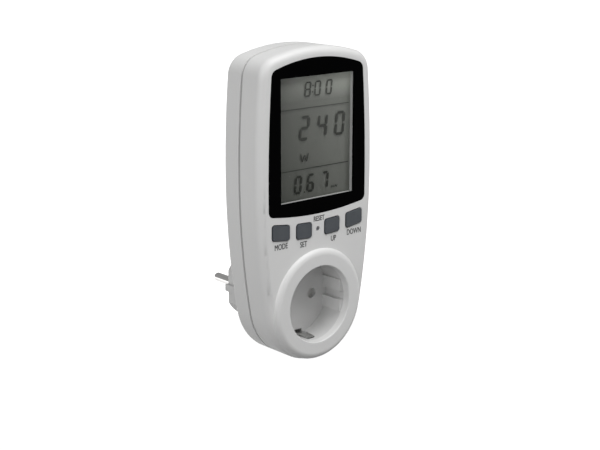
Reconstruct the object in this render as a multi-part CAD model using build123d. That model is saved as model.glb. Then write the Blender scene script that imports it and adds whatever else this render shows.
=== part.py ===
from build123d import *
import math
import os

# Plug-in power meter for a side-earthed mains socket. Millimetres.
# Origin: centre of the plug's engagement face. +X right, +Z up, +Y into the wall.

# ---- depths along Y: the front of the meter is at the low end ----
BODY_FRONT = -53.3  # flat front panel
BODY_BACK = -26.0  # flat back of the rear shell
SEAM = -39.0  # where the two shells meet
PLUG_FACE = 0.0

# ---- housing outline, as arcs that meet smoothly ----
HALF_WIDTH = 37.7
WIDEST_HEIGHT = 66.0
TOP_HEIGHT = 129.8
TOP_ARC_RADIUS = 100.0
TOP_CORNER_RADIUS = 11.0
UPPER_SIDE_RADIUS = 550.0
BOTTOM_RADIUS = 32.1
BOTTOM_CENTRE_HEIGHT = 2.5

# ---- housing walls and edges ----
WALL = 2.2
FRONT_EDGE_RADIUS = 4.0
BACK_EDGE_RADIUS = 2.2
LIP_WALL = 1.0
LIP_HEIGHT = 1.4
LIP_GAP = 0.1
POST_HOLE_MARGIN = 0.5  # plastic left in front of a post's screw hole
BOSS_HOLE_MARGIN = 1.5
SEAM_GROOVE_WIDTH = 1.4
SEAM_GROOVE_DEPTH = 0.5

# ---- socket: standard recess for a round plug ----
RECESS_RADIUS = 19.9
RECESS_DEPTH = 17.5
COLLAR_HEIGHT = 2.0
COLLAR_FLAT_RADIUS = RECESS_RADIUS + 5.7
COLLAR_EDGE_RADIUS = 3.5
RIM_ROUND = 0.5
CUP_WALL = 2.0
CUP_FLANGE_RADIUS = RECESS_RADIUS + 3.3
CUP_FLANGE_THICKNESS = 2.0
CUP_FLOOR_THICKNESS = 2.5
CUP_SKIRT_RADIUS = 17.0  # inside of the rim behind the socket's floor
GUIDE_HALF_SPAN = RECESS_RADIUS - 2.9  # the recess is flat at each side from here out
GUIDE_HALF_HEIGHT = 8.5
GUIDE_GROOVE_WIDTH = 4.6
EAR_PLACE = 18.5
EAR_RADIUS = 3.0

# ---- pins and their holes ----
PIN_RADIUS = 2.4
PIN_SPACING = 19.0
PIN_LENGTH = 19.0
PIN_TIP_ROUND = 2.0
PIN_HOLE_RADIUS = PIN_RADIUS + 0.35
PIN_SHANK_RADIUS = 2.1
PIN_MOAT_RADIUS = PIN_RADIUS + 0.1  # shallow ring in the plug's face round each pin
PIN_MOAT_DEPTH = 0.2
PIN_STUD_RADIUS = 1.75
PIN_STUD_END = -7.0
RIVET_RADIUS = 2.6
STUD_HOLE_GAP = 0.05
STUD_PLATE_HALF = 2.8

# ---- plug base behind the body ----
PLUG_RADIUS = 18.5
PLUG_EDGE_ROUND = 1.0
PLUG_SIDE_FLAT = 16.3
PLUG_FLAT_HALF_HEIGHT = 8.75
PLUG_RIB_WIDTH = 3.65
PLUG_WALL = 2.1
PLUG_END_WALL = 3.0
PIN_BOSS_RADIUS = 4.0
PIN_BOSS_DEPTH = 5.0
PLUG_FLANGE_RADIUS = 22.0
PLUG_FLANGE_THICKNESS = 4.2 - WALL  # shares 4.2 with the back wall, behind the contact carrier
PLUG_HOLE_GAP = 0.2
PLUG_INNER_STEP = 0.4  # the round of the hollow is this much smaller than an even wall gives
PLUG_SLOT_REACH = 1.5
PLUG_SCREW_GAP = 0.4
PLUG_NOTCH_START = 14.0
STRAP_NOTCH_INNER = 6.0
STRAP_NOTCH_OUTER = 13.2
STRAP_NOTCH_HEIGHT = 7.4
BEYOND = 1.0  # how far a cut runs past the wall it opens

# ---- metal strip used for the current path and the earth ----
STRIP = 0.8
EARTH_STRIP_WIDTH = 4.6
EARTH_SLOT_GAP = 0.3
EARTH_END_GAP = 0.5
SOCKET_EARTH_PLACE = RECESS_RADIUS - 0.3  # middle of the strip's thickness, from the socket's axis
SOCKET_EARTH_CONTACT = RECESS_RADIUS - 1.4
SOCKET_EARTH_TIP = BODY_FRONT + 5.3
PLUG_EARTH_PLACE = 17.6
PLUG_EARTH_TIP = -2.5
PLUG_EARTH_BRIDGE = -22.4
EARTH_POST_RADIUS = 1.8
CONTACT_LENGTH = 12.2
CONTACT_HALF_WIDTH = 2.6
LEAF_GAP = 0.1
LEAF_FREE_END = 3.0
CONTACT_GAP = 0.3
CONTACT_START_GAP = 0.2
STRAP_WIDTH = 2.4
STRAP_RUN_HEIGHT = 8.2
STRAP_TOP = 37.0

# ---- shutter behind the socket floor ----
SHUTTER_RADIUS = 12.8
SHUTTER_THICKNESS = 1.6
SHUTTER_GAP = 0.2
SHUTTER_HOLE_RADIUS = PIN_RADIUS + 0.6
SHUTTER_TURN = 36.0
SHUTTER_PIVOT_RADIUS = 1.5
SHUTTER_PIVOT_GAP = 0.05
SHUTTER_FLAT = 9.2
SHUTTER_LUG_WIDTH = 2.5
SHUTTER_LUG_REACH = 12.0
SPRING_WIRE_RADIUS = 0.2
SPRING_COIL_RADIUS = 0.65
SPRING_TURNS = 9
SPRING_END = -12.6
SPRING_HEIGHT = -10.8
SPRING_END_GAP = 0.05
SPRING_REST_LOW = -12.3
SPRING_REST_HIGH = -9.6
SPRING_REST_THICKNESS = 1.5
CARRIER_GAP = 0.3
CARRIER_RADIUS = RECESS_RADIUS + 0.6
CARRIER_THICKNESS = 3.0
CARRIER_SCREW_PLACE = 13.7
CARRIER_SCREW_BITE = 3.0
CARRIER_SCREW_HOLE = 1.5

# ---- window, display and its frame ----
WINDOW_HALF_WIDTH = 31.8
WINDOW_WIDEST_HEIGHT = 60.0
WINDOW_SIDE_RADIUS = 750.0
WINDOW_TOP = 124.6
WINDOW_TOP_RADIUS = 85.0
WINDOW_BOTTOM = 47.0
WINDOW_BOTTOM_RADIUS = 185.0
WINDOW_TOP_CORNER = 4.0
WINDOW_BOTTOM_CORNER = 3.2
WINDOW_THICKNESS = 1.2
WINDOW_GAP = 0.1
VIEW_WIDTH = 47.9
VIEW_HEIGHT = 61.1
VIEW_CENTRE_HEIGHT = 85.3
FRAME_LIP = 1.1
FRAME_FLANGE = 2.0
FRAME_DEPTH = 1.8
FRAME_GAP = 0.15
GLASS_MARGIN = 1.1
GLASS_THICKNESS = 2.0
FILM_THICKNESS = 0.2
FILM_MARGIN = 0.5
ZEBRA_WIDTH = 2.0
ZEBRA_END_GAP = 1.5

# ---- boards ----
BOARD_THICKNESS = 1.6
DISPLAY_BOARD_FRONT = -46.6
DISPLAY_BOARD_HALF_WIDTH = BOTTOM_RADIUS - WALL - 2.7
DISPLAY_BOARD_BOTTOM = 31.0
DISPLAY_BOARD_TOP = TOP_HEIGHT - WALL - 4.1
DISPLAY_POST_PLACES = [(-24.5, 49.0), (24.5, 49.0), (-16.0, 121.4), (16.0, 121.4)]
POWER_BOARD_REAR = -29.8
POWER_BOARD_HALF_WIDTH = HALF_WIDTH - 8.2
POWER_BOARD_BOTTOM = 33.0
POWER_BOARD_TOP = 107.0
POWER_POST_PLACES = [(-26.0, 40.0), (26.0, 40.0), (-26.0, 103.0), (26.0, 103.0)]
POST_RADIUS = 2.3
DISPLAY_SCREW_BITE = 3.0
BLOB_X = -6.0
BLOB_Z = 84.0
BLOB_RADIUS = 7.0
BLOB_HEIGHT = 1.6

# ---- screws ----
CASE_SCREW_TOP_X = HALF_WIDTH - 7.3
CASE_SCREW_TOP_Z = TOP_HEIGHT - 17.8
CASE_SCREW_LOW_X = BOTTOM_RADIUS - 6.1
CASE_SCREW_LOW_Z = -8.5
CASE_BOSS_RADIUS = 2.8
CASE_BOSS_MEET = -38.0
CASE_SCREW_RADIUS = 1.25
CASE_HEAD_RADIUS = 2.4
CASE_HEAD_HEIGHT = 1.8
CASE_HEAD_SEAT = -29.5
CASE_HEAD_GAP = 0.3
CASE_SEAT_WALL = 1.2
CASE_SHANK_GAP = 0.2
CASE_SCREW_LENGTH = 16.0
SMALL_SCREW_RADIUS = 0.9
SMALL_HEAD_RADIUS = 1.9
SMALL_HEAD_HEIGHT = 1.3
SMALL_SCREW_LENGTH = 4.2
INSERT_SCREW_BITE = 1.5
INSERT_HOLE_DEPTH = 1.6
CROSS_REACH = 1.2
CROSS_HALF_WIDTH = 0.25
CROSS_SHARE = 0.6  # how much of the head's height the cross is deep

# ---- keys ----
KEY_SPANS = {"mode": (-29.7, -18.8), "set": (-14.2, -4.4), "up": (4.4, 14.2), "down": (18.8, 29.7)}
KEY_ROW_TOP = 43.0
KEY_ROW_RADIUS = 180.0
KEY_HEIGHT = 7.6
KEY_CORNER = 1.3
KEY_PROUD = 0.7
KEY_EDGE_ROUND = 0.5
KEY_GAP = 0.4
KEY_FLANGE = 0.9
KEY_FLANGE_THICKNESS = 0.9
KEY_STROKE = 0.8
MAT_THICKNESS = 0.8
MAT_TOP = 46.3
DOME_BASE_RADIUS = 3.0
DOME_TOP_RADIUS = 2.0
DOME_HOLLOW = 0.6
RESET_HEIGHT = 39.2
RESET_HOLE_RADIUS = 1.25
RESET_SWITCH_SIZE = 4.4
RESET_SWITCH_DEPTH = 2.2
RESET_MAT_GAP = 0.3
RESET_BUTTON_RADIUS = 1.0
RESET_BUTTON_GAP = 0.1
RESET_BUTTON_PROUD = 4.0
RESET_BUTTON_LENGTH = 4.6
RESET_STROKE = 0.25

# ---- label on the back ----
LABEL_WIDTH = 44.0
LABEL_HEIGHT = 56.0
LABEL_CENTRE_HEIGHT = 76.0
LABEL_THICKNESS = 0.2
LABEL_CORNER = 2.0

# ---- pin header between the boards ----
HEADER_PINS = 8
HEADER_PITCH = 2.54
HEADER_HEIGHT = 72.0
HEADER_LEFT = 6.0
HEADER_PIN_RADIUS = 0.32
HEADER_PIN_ROOT = 0.5
HEADER_BODY_DEPTH = 2.5
HEADER_BODY_HEIGHT = 2.5

# ---- parts on the power board; a place is X low, X high, Z low, Z high ----
LEAD_RADIUS = 0.35
WIRE_RADIUS = 0.4
FILM_CAPACITOR_PLACE = (-19.0, 7.0, 88.0, 99.5)
FILM_CAPACITOR_HEIGHT = 11.0
FILM_CAPACITOR_LIFT = 0.5
FILM_CAPACITOR_ROUND = 0.6
FILM_CAPACITOR_LEAD_INSET = 2.0
CAN_X = 17.0
CAN_Z = 93.0
CAN_RADIUS = 5.0
CAN_HEIGHT = 12.0
CAN_ROUND = 0.6
CAN_VENT_REACH = 3.0
CAN_VENT_HALF_WIDTH = 0.2
CAN_VENT_DEPTH = 0.2
VARISTOR_X = -22.0
VARISTOR_Z = 77.0
VARISTOR_RADIUS = 5.6
VARISTOR_THICKNESS = 4.0
VARISTOR_LIFT = 1.9
VARISTOR_ROUND = 1.2
VARISTOR_LEAD_PLACE = 2.4
FUSE_HALF_LENGTH = 10.0
FUSE_Z = 47.0
FUSE_RADIUS = 2.6
FUSE_LIFT = 1.5
CLIP_PLACE = 8.0
CLIP_HALF_LENGTH = 2.0
CLIP_OUTER_HALF = 3.4
CLIP_INNER_HALF = 2.6
CLIP_HEIGHT = 5.6
CLIP_FLOOR = 1.0
SHUNT_PLACE = (-16.0, -4.0, 37.5, 40.5)
SHUNT_HEIGHT = 5.0
SHUNT_STRIP = 1.2
CHIP_HEIGHT = 1.6
CHIP_LIFT = 0.15
CHIP_LEG_HALF_WIDTH = 0.2
CHIP_LEG_REACH = 1.1
CHIP_LEG_HEIGHT = 0.3
METERING_CHIP = (-5.0, 60.0, 12.8, 7.5, 10)  # middle X and Z, width, height, legs in a row
MEMORY_CHIP = (20.0, 80.5, 5.0, 4.0, 4)
CRYSTAL_PLACE = (8.5, 18.5, 57.0, 60.6)
CRYSTAL_HEIGHT = 3.6
CRYSTAL_ROUND = 1.7
CELL_COUNT = 3
CELL_LEFT = 3.0
CELL_Z = 65.0
CELL_RADIUS = 3.9
CELL_LENGTH = 6.2
CELL_GAP = 0.2
CELL_LIFT = 0.2
CELL_LINK_RADIUS = 2.5
RESISTOR_PLACE = (-14.0, -2.0)
RESISTOR_Z = 81.0
RESISTOR_RADIUS = 2.3
RESISTOR_LIFT = 1.2
RESISTOR_ROUND = 0.8
RESISTOR_WIRE = 2.5
DIODE_LEFTS = (-17.0, -11.0, -5.0)
DIODE_Z = 71.0
DIODE_LENGTH = 4.2
DIODE_RADIUS = 1.35
DIODE_LIFT = 0.3
DIODE_WIRE = 0.9
WIRE_BEND = 0.4  # from a wire's end to its leg's middle line
CHIP_RESISTOR_START = (-17.5, 53.2)
CHIP_RESISTOR_STEP = (3.4, 13.2)
CHIP_RESISTOR_COUNT = (6, 2)
CHIP_RESISTOR_HALF = (1.0, 0.6)
CHIP_RESISTOR_HEIGHT = 0.5

# ---- places worked out from the sizes above ----
PANEL_BACK = BODY_FRONT + WALL
BACK_WALL_FRONT = BODY_BACK - WALL
COLLAR_FACE = BODY_FRONT - COLLAR_HEIGHT
RECESS_FLOOR = COLLAR_FACE + RECESS_DEPTH
CUP_BACK = RECESS_FLOOR + CUP_FLOOR_THICKNESS
CUP_RADIUS = RECESS_RADIUS + CUP_WALL
SHUTTER_FRONT = CUP_BACK + SHUTTER_GAP
SHUTTER_BACK = SHUTTER_FRONT + SHUTTER_THICKNESS
CARRIER_FRONT = SHUTTER_BACK + CARRIER_GAP
CARRIER_BACK = CARRIER_FRONT + CARRIER_THICKNESS
PIN_PLACE = PIN_SPACING / 2
PLUG_FLANGE_FRONT = BACK_WALL_FRONT - PLUG_FLANGE_THICKNESS
LENS_BACK = BODY_FRONT + WINDOW_THICKNESS
GLASS_FRONT = LENS_BACK + FRAME_DEPTH
LEAF_INNER = PIN_RADIUS + LEAF_GAP
CONTACT_FRONT = CARRIER_FRONT + CONTACT_START_GAP
CONTACT_BACK = CONTACT_FRONT + CONTACT_LENGTH
POWER_BOARD_FRONT = POWER_BOARD_REAR - BOARD_THICKNESS
DISPLAY_BOARD_REAR = DISPLAY_BOARD_FRONT + BOARD_THICKNESS
MAT_FRONT = DISPLAY_BOARD_FRONT - MAT_THICKNESS
KEY_FLANGE_BACK = PANEL_BACK + KEY_FLANGE_THICKNESS
CASE_SCREW_PLACES = [
    (-CASE_SCREW_TOP_X, CASE_SCREW_TOP_Z),
    (CASE_SCREW_TOP_X, CASE_SCREW_TOP_Z),
    (-CASE_SCREW_LOW_X, CASE_SCREW_LOW_Z),
    (CASE_SCREW_LOW_X, CASE_SCREW_LOW_Z),
]


# ---- small helpers ----


def slab(sketch, front, back):
    """A sketch drawn in X and Z, filled from the depth front to the depth back."""
    return extrude(Plane.XZ.offset(-back) * sketch, back - front)


def disc(x, z, radius):
    return Pos(x, z) * Circle(radius)


def rect(x_low, x_high, z_low, z_high):
    centre = Pos((x_low + x_high) / 2, (z_low + z_high) / 2)
    return centre * Rectangle(x_high - x_low, z_high - z_low)


def block(x_low, x_high, front, back, z_low, z_high):
    return slab(rect(x_low, x_high, z_low, z_high), front, back)


def rod(x, z, radius, front, back):
    return slab(disc(x, z, radius), front, back)


def group(shapes):
    return Compound(children=[solid for shape in shapes for solid in shape.solids()])


def direction(start, end):
    return math.atan2(end[1] - start[1], end[0] - start[0])


def arc(centre, radius, start, end):
    sweep_angle = math.degrees(end - start)
    return CenterArc((centre[0], centre[1], 0), radius, math.degrees(start), sweep_angle)


def edges_at_depth(shape, depth):
    return shape.edges().filter_by_position(Axis.Y, depth - 0.01, depth + 0.01)


def screw(x, z, seat, toward, head_radius, head_height, shank_radius, length):
    """A cross-head screw along Y: its head lies behind seat, its shank goes toward."""
    top = seat - toward * head_height
    head = rod(x, z, head_radius, min(seat, top), max(seat, top))
    shank_end = seat + toward * length
    shank = rod(x, z, shank_radius, min(seat, shank_end), max(seat, shank_end))
    slot_floor = top + toward * head_height * CROSS_SHARE
    cross = rect(x - CROSS_REACH, x + CROSS_REACH, z - CROSS_HALF_WIDTH, z + CROSS_HALF_WIDTH)
    cross += rect(x - CROSS_HALF_WIDTH, x + CROSS_HALF_WIDTH, z - CROSS_REACH, z + CROSS_REACH)
    return head + shank - slab(cross, min(top, slot_floor), max(top, slot_floor))


# ---- outlines ----


def body_outline(inset):
    """The housing's outline seen from the front, moved inward by inset."""
    rise = WIDEST_HEIGHT - BOTTOM_CENTRE_HEIGHT
    lower_radius = (HALF_WIDTH**2 + rise**2 - BOTTOM_RADIUS**2) / (2 * (HALF_WIDTH - BOTTOM_RADIUS))
    bottom = (0, BOTTOM_CENTRE_HEIGHT)
    lower = (HALF_WIDTH - lower_radius, WIDEST_HEIGHT)
    upper = (HALF_WIDTH - UPPER_SIDE_RADIUS, WIDEST_HEIGHT)
    top = (0, TOP_HEIGHT - TOP_ARC_RADIUS)
    # The corner's centre is where two circles about the side's and the top's centres cross.
    side_reach = UPPER_SIDE_RADIUS - TOP_CORNER_RADIUS
    top_reach = TOP_ARC_RADIUS - TOP_CORNER_RADIUS
    gap = math.dist(upper, top)
    along = (side_reach**2 - top_reach**2 + gap**2) / (2 * gap)
    across = math.sqrt(side_reach**2 - along**2)
    turn = direction(upper, top) + math.atan2(across, along)
    corner = (upper[0] + side_reach * math.cos(turn), upper[1] + side_reach * math.sin(turn))
    low_turn = direction(lower, bottom)
    side_turn = direction(upper, corner)
    top_turn = direction(top, corner)
    right = [
        arc(bottom, BOTTOM_RADIUS - inset, -math.pi / 2, low_turn),
        arc(lower, lower_radius - inset, low_turn, 0),
        arc(upper, UPPER_SIDE_RADIUS - inset, 0, side_turn),
        arc(corner, TOP_CORNER_RADIUS - inset, side_turn, top_turn),
        arc(top, TOP_ARC_RADIUS - inset, top_turn, math.pi / 2),
    ]
    left = [mirror(edge, Plane.YZ) for edge in right]
    return make_face(right + left)


def window_outline(outset):
    """The window's outline: four shallow arcs with rounded corners, moved out by outset."""
    reach = WINDOW_HALF_WIDTH + outset
    top = WINDOW_TOP + outset
    bottom = WINDOW_BOTTOM - outset

    def side(z):
        return reach - (z - WINDOW_WIDEST_HEIGHT) ** 2 / (2 * WINDOW_SIDE_RADIUS)

    low = bottom + reach**2 / (2 * WINDOW_BOTTOM_RADIUS)
    high = top - side(top) ** 2 / (2 * WINDOW_TOP_RADIUS)
    high_x = side(high)
    high = top - high_x**2 / (2 * WINDOW_TOP_RADIUS)
    low_x = side(low)
    middle = (low + high) / 2
    face = make_face(
        [
            ThreePointArc((-low_x, low), (0, bottom), (low_x, low)),
            ThreePointArc((low_x, low), (side(middle), middle), (high_x, high)),
            ThreePointArc((high_x, high), (0, top), (-high_x, high)),
            ThreePointArc((-high_x, high), (-side(middle), middle), (-low_x, low)),
        ]
    )
    face = fillet(face.vertices().sort_by(Axis.Y)[-2:], WINDOW_TOP_CORNER)
    return fillet(face.vertices().sort_by(Axis.Y)[:2], WINDOW_BOTTOM_CORNER)


def key_row(x):
    """Height of the key row's top line above the point x."""
    return KEY_ROW_TOP + x**2 / (2 * KEY_ROW_RADIUS)


def key_outline(name, outset):
    left, right = KEY_SPANS[name]
    left -= outset
    right += outset
    corners = [
        (left, key_row(left) + outset),
        (right, key_row(right) + outset),
        (right, key_row(right) - KEY_HEIGHT - outset),
        (left, key_row(left) - KEY_HEIGHT - outset),
    ]
    face = make_face(Polyline(*corners, close=True))
    return fillet(face.vertices(), KEY_CORNER + outset)


def recess_outline():
    """The socket's hollow: a circle with flat guides at its sides and a groove through each."""
    hollow = Circle(RECESS_RADIUS)
    for side in (-1, 1):
        middle = side * (GUIDE_HALF_SPAN + RECESS_RADIUS) / 2
        half = (RECESS_RADIUS - GUIDE_HALF_SPAN) / 2
        hollow -= rect(middle - half, middle + half, -GUIDE_HALF_HEIGHT, GUIDE_HALF_HEIGHT)
    groove = rect(-RECESS_RADIUS, RECESS_RADIUS, -GUIDE_GROOVE_WIDTH / 2, GUIDE_GROOVE_WIDTH / 2)
    return hollow + groove & Circle(RECESS_RADIUS)


def plug_outline():
    """The plug base's section: a circle with side flats and a rib down each flat."""
    flats = Circle(PLUG_RADIUS)
    for side in (-1, 1):
        middle = side * (PLUG_SIDE_FLAT + PLUG_RADIUS) / 2
        half = (PLUG_RADIUS - PLUG_SIDE_FLAT) / 2
        flats -= rect(middle - half, middle + half, -PLUG_FLAT_HALF_HEIGHT, PLUG_FLAT_HALF_HEIGHT)
    rib = rect(-PLUG_RADIUS, PLUG_RADIUS, -PLUG_RIB_WIDTH / 2, PLUG_RIB_WIDTH / 2)
    return flats + rib & Circle(PLUG_RADIUS)


def view_outline(outset):
    return Pos(0, VIEW_CENTRE_HEIGHT) * Rectangle(VIEW_WIDTH + 2 * outset, VIEW_HEIGHT + 2 * outset)


# ---- housing ----


def collar():
    """The raised ring round the socket, turned about Y, with a soft outer edge."""
    inner = RECESS_RADIUS
    outer = COLLAR_FLAT_RADIUS + COLLAR_EDGE_RADIUS
    shoulder = COLLAR_FACE + COLLAR_EDGE_RADIUS
    edge_middle = COLLAR_EDGE_RADIUS * math.sqrt(0.5)
    rim_middle = RIM_ROUND * (1 - math.sqrt(0.5))
    profile = make_face(
        [
            Line((inner, PANEL_BACK), (inner, COLLAR_FACE + RIM_ROUND)),
            ThreePointArc(
                (inner, COLLAR_FACE + RIM_ROUND),
                (inner + rim_middle, COLLAR_FACE + rim_middle),
                (inner + RIM_ROUND, COLLAR_FACE),
            ),
            Line((inner + RIM_ROUND, COLLAR_FACE), (COLLAR_FLAT_RADIUS, COLLAR_FACE)),
            ThreePointArc(
                (COLLAR_FLAT_RADIUS, COLLAR_FACE),
                (COLLAR_FLAT_RADIUS + edge_middle, shoulder - edge_middle),
                (outer, shoulder),
            ),
            Line((outer, shoulder), (outer, PANEL_BACK)),
            Line((outer, PANEL_BACK), (inner, PANEL_BACK)),
        ]
    )
    return revolve(profile, Axis.Y)


def front_shell():
    shell = slab(body_outline(0), BODY_FRONT, SEAM)
    shell = fillet(edges_at_depth(shell, BODY_FRONT), FRONT_EDGE_RADIUS)
    shell -= slab(body_outline(WALL), PANEL_BACK, SEAM)
    lip = body_outline(WALL - LIP_WALL) - body_outline(WALL)
    shell += slab(lip, SEAM - 2 * LIP_HEIGHT, SEAM + LIP_HEIGHT)
    shell += collar()
    for x, z in CASE_SCREW_PLACES:
        boss = rod(x, z, CASE_BOSS_RADIUS, PANEL_BACK, CASE_BOSS_MEET)
        shell += boss & slab(body_outline(WALL - LIP_WALL), PANEL_BACK, CASE_BOSS_MEET)
        shell -= rod(x, z, CASE_SCREW_RADIUS, PANEL_BACK + BOSS_HOLE_MARGIN, CASE_BOSS_MEET)
    for x, z in DISPLAY_POST_PLACES:
        shell += rod(x, z, POST_RADIUS, PANEL_BACK, DISPLAY_BOARD_FRONT)
        shell -= rod(x, z, SMALL_SCREW_RADIUS, PANEL_BACK + POST_HOLE_MARGIN, DISPLAY_BOARD_FRONT)
    shell -= slab(Circle(RECESS_RADIUS), COLLAR_FACE + RIM_ROUND, PANEL_BACK)
    for x in (-EAR_PLACE, EAR_PLACE):
        shell -= rod(x, EAR_PLACE, SMALL_SCREW_RADIUS, PANEL_BACK - INSERT_HOLE_DEPTH, PANEL_BACK)
    shell -= slab(window_outline(WINDOW_GAP), BODY_FRONT, LENS_BACK)
    shell -= slab(view_outline(FRAME_LIP + FRAME_GAP), LENS_BACK, PANEL_BACK)
    for name in KEY_SPANS:
        shell -= slab(key_outline(name, KEY_GAP), BODY_FRONT, PANEL_BACK)
    shell -= rod(0, RESET_HEIGHT, RESET_HOLE_RADIUS, BODY_FRONT, PANEL_BACK)
    return shell


def rear_shell():
    shell = slab(body_outline(0), SEAM, BODY_BACK)
    shell = fillet(edges_at_depth(shell, BODY_BACK), BACK_EDGE_RADIUS)
    shell -= slab(body_outline(WALL), SEAM, BACK_WALL_FRONT)
    lip_space = body_outline(WALL - LIP_WALL - LIP_GAP) - body_outline(WALL)
    shell -= slab(lip_space, SEAM, SEAM + LIP_HEIGHT + LIP_GAP)
    groove = body_outline(0) - body_outline(SEAM_GROOVE_DEPTH)
    shell -= slab(groove, SEAM, SEAM + SEAM_GROOVE_WIDTH)
    for x, z in CASE_SCREW_PLACES:
        boss_radius = CASE_HEAD_RADIUS + CASE_HEAD_GAP + CASE_SEAT_WALL
        boss = rod(x, z, boss_radius, CASE_BOSS_MEET, BACK_WALL_FRONT)
        shell += boss & slab(body_outline(WALL), CASE_BOSS_MEET, BACK_WALL_FRONT)
        shell -= rod(x, z, CASE_SCREW_RADIUS + CASE_SHANK_GAP, CASE_BOSS_MEET, BODY_BACK)
        shell -= rod(x, z, CASE_HEAD_RADIUS + CASE_HEAD_GAP, CASE_HEAD_SEAT, BODY_BACK)
    for x, z in POWER_POST_PLACES:
        shell += rod(x, z, POST_RADIUS, POWER_BOARD_REAR, BACK_WALL_FRONT)
        shell -= rod(x, z, SMALL_SCREW_RADIUS, POWER_BOARD_REAR, POWER_BOARD_FRONT + SMALL_SCREW_LENGTH)
    shell -= rod(0, 0, PLUG_RADIUS + PLUG_HOLE_GAP, BACK_WALL_FRONT, BODY_BACK)
    label = Pos(0, LABEL_CENTRE_HEIGHT) * RectangleRounded(LABEL_WIDTH, LABEL_HEIGHT, LABEL_CORNER)
    shell -= slab(label, BODY_BACK - LABEL_THICKNESS, BODY_BACK)
    return shell


def rating_label():
    label = Pos(0, LABEL_CENTRE_HEIGHT) * RectangleRounded(LABEL_WIDTH, LABEL_HEIGHT, LABEL_CORNER)
    return slab(label, BODY_BACK - LABEL_THICKNESS, BODY_BACK)


def window_lens():
    return slab(window_outline(0), BODY_FRONT, LENS_BACK)


def housing_screws():
    size = (CASE_HEAD_RADIUS, CASE_HEAD_HEIGHT, CASE_SCREW_RADIUS, CASE_SCREW_LENGTH)
    return group([screw(x, z, CASE_HEAD_SEAT, -1, *size) for x, z in CASE_SCREW_PLACES])


# ---- socket ----


def earth_slots(front, back):
    """The two slots that the socket's earth springs pass through."""
    half = EARTH_STRIP_WIDTH / 2 + EARTH_SLOT_GAP
    inner = SOCKET_EARTH_CONTACT - STRIP
    upper = block(-half, half, front, back, inner, CUP_FLANGE_RADIUS)
    return upper + block(-half, half, front, back, -CUP_FLANGE_RADIUS, -inner)


def socket_insert():
    """The socket's wall, with the flange and ears that hold it to the front shell."""
    cup = rod(0, 0, CUP_RADIUS, PANEL_BACK, RECESS_FLOOR)
    flange_back = PANEL_BACK + CUP_FLANGE_THICKNESS
    cup += rod(0, 0, CUP_FLANGE_RADIUS, PANEL_BACK, flange_back)
    for x in (-EAR_PLACE, EAR_PLACE):
        cup += rod(x, EAR_PLACE, EAR_RADIUS, PANEL_BACK, flange_back)
        cup -= rod(x, EAR_PLACE, SMALL_SCREW_RADIUS, PANEL_BACK, flange_back)
    cup -= slab(recess_outline(), PANEL_BACK, RECESS_FLOOR)
    return cup - earth_slots(SOCKET_EARTH_TIP - EARTH_END_GAP, RECESS_FLOOR)


def socket_floor():
    """The socket's floor, with the pin holes, the shutter's pivot and the rest for its spring."""
    floor = rod(0, 0, CUP_RADIUS, RECESS_FLOOR, CARRIER_FRONT)
    floor -= rod(0, 0, CUP_SKIRT_RADIUS, CUP_BACK, CARRIER_FRONT)
    floor += rod(0, 0, SHUTTER_PIVOT_RADIUS, CUP_BACK, CARRIER_FRONT)
    for x in (-PIN_PLACE, PIN_PLACE):
        floor -= rod(x, 0, PIN_HOLE_RADIUS, RECESS_FLOOR, CUP_BACK)
    for place in (-CARRIER_SCREW_PLACE, CARRIER_SCREW_PLACE):
        floor -= rod(place, place, SMALL_SCREW_RADIUS, CUP_BACK - CARRIER_SCREW_HOLE, CARRIER_FRONT)
    rest_start = SPRING_END - SPRING_REST_THICKNESS
    rest_back = CARRIER_FRONT - CARRIER_GAP
    floor += block(rest_start, SPRING_END, CUP_BACK, rest_back, SPRING_REST_LOW, SPRING_REST_HIGH)
    return floor - earth_slots(RECESS_FLOOR, CARRIER_FRONT)


def contact_window(x):
    half_width = CONTACT_HALF_WIDTH + STRIP + CONTACT_GAP
    half_height = LEAF_INNER + STRIP + CONTACT_GAP
    return rect(x - half_width, x + half_width, -half_height, half_height)


def contact_carrier():
    plate = rod(0, 0, CARRIER_RADIUS, CARRIER_FRONT, CARRIER_BACK)
    for x in (-PIN_PLACE, PIN_PLACE):
        plate -= slab(contact_window(x), CARRIER_FRONT, CARRIER_BACK)
    half = EARTH_STRIP_WIDTH / 2 + EARTH_SLOT_GAP
    for side in (-1, 1):
        inner = side * (SOCKET_EARTH_PLACE - STRIP)
        outer = side * (CARRIER_RADIUS + BEYOND)
        plate -= block(-half, half, CARRIER_FRONT, CARRIER_BACK, min(inner, outer), max(inner, outer))
        place = side * CARRIER_SCREW_PLACE
        plate -= rod(place, place, SMALL_SCREW_RADIUS, CARRIER_FRONT, CARRIER_BACK)
    return plate


def carrier_screws():
    length = CARRIER_THICKNESS + CARRIER_SCREW_BITE
    size = (SMALL_HEAD_RADIUS, SMALL_HEAD_HEIGHT, SMALL_SCREW_RADIUS, length)
    places = (-CARRIER_SCREW_PLACE, CARRIER_SCREW_PLACE)
    return group([screw(place, place, CARRIER_BACK, -1, *size) for place in places])


def insert_screws():
    seat = PANEL_BACK + CUP_FLANGE_THICKNESS
    length = CUP_FLANGE_THICKNESS + INSERT_SCREW_BITE
    size = (SMALL_HEAD_RADIUS, SMALL_HEAD_HEIGHT, SMALL_SCREW_RADIUS, length)
    return group([screw(x, EAR_PLACE, seat, -1, *size) for x in (-EAR_PLACE, EAR_PLACE)])


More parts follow.
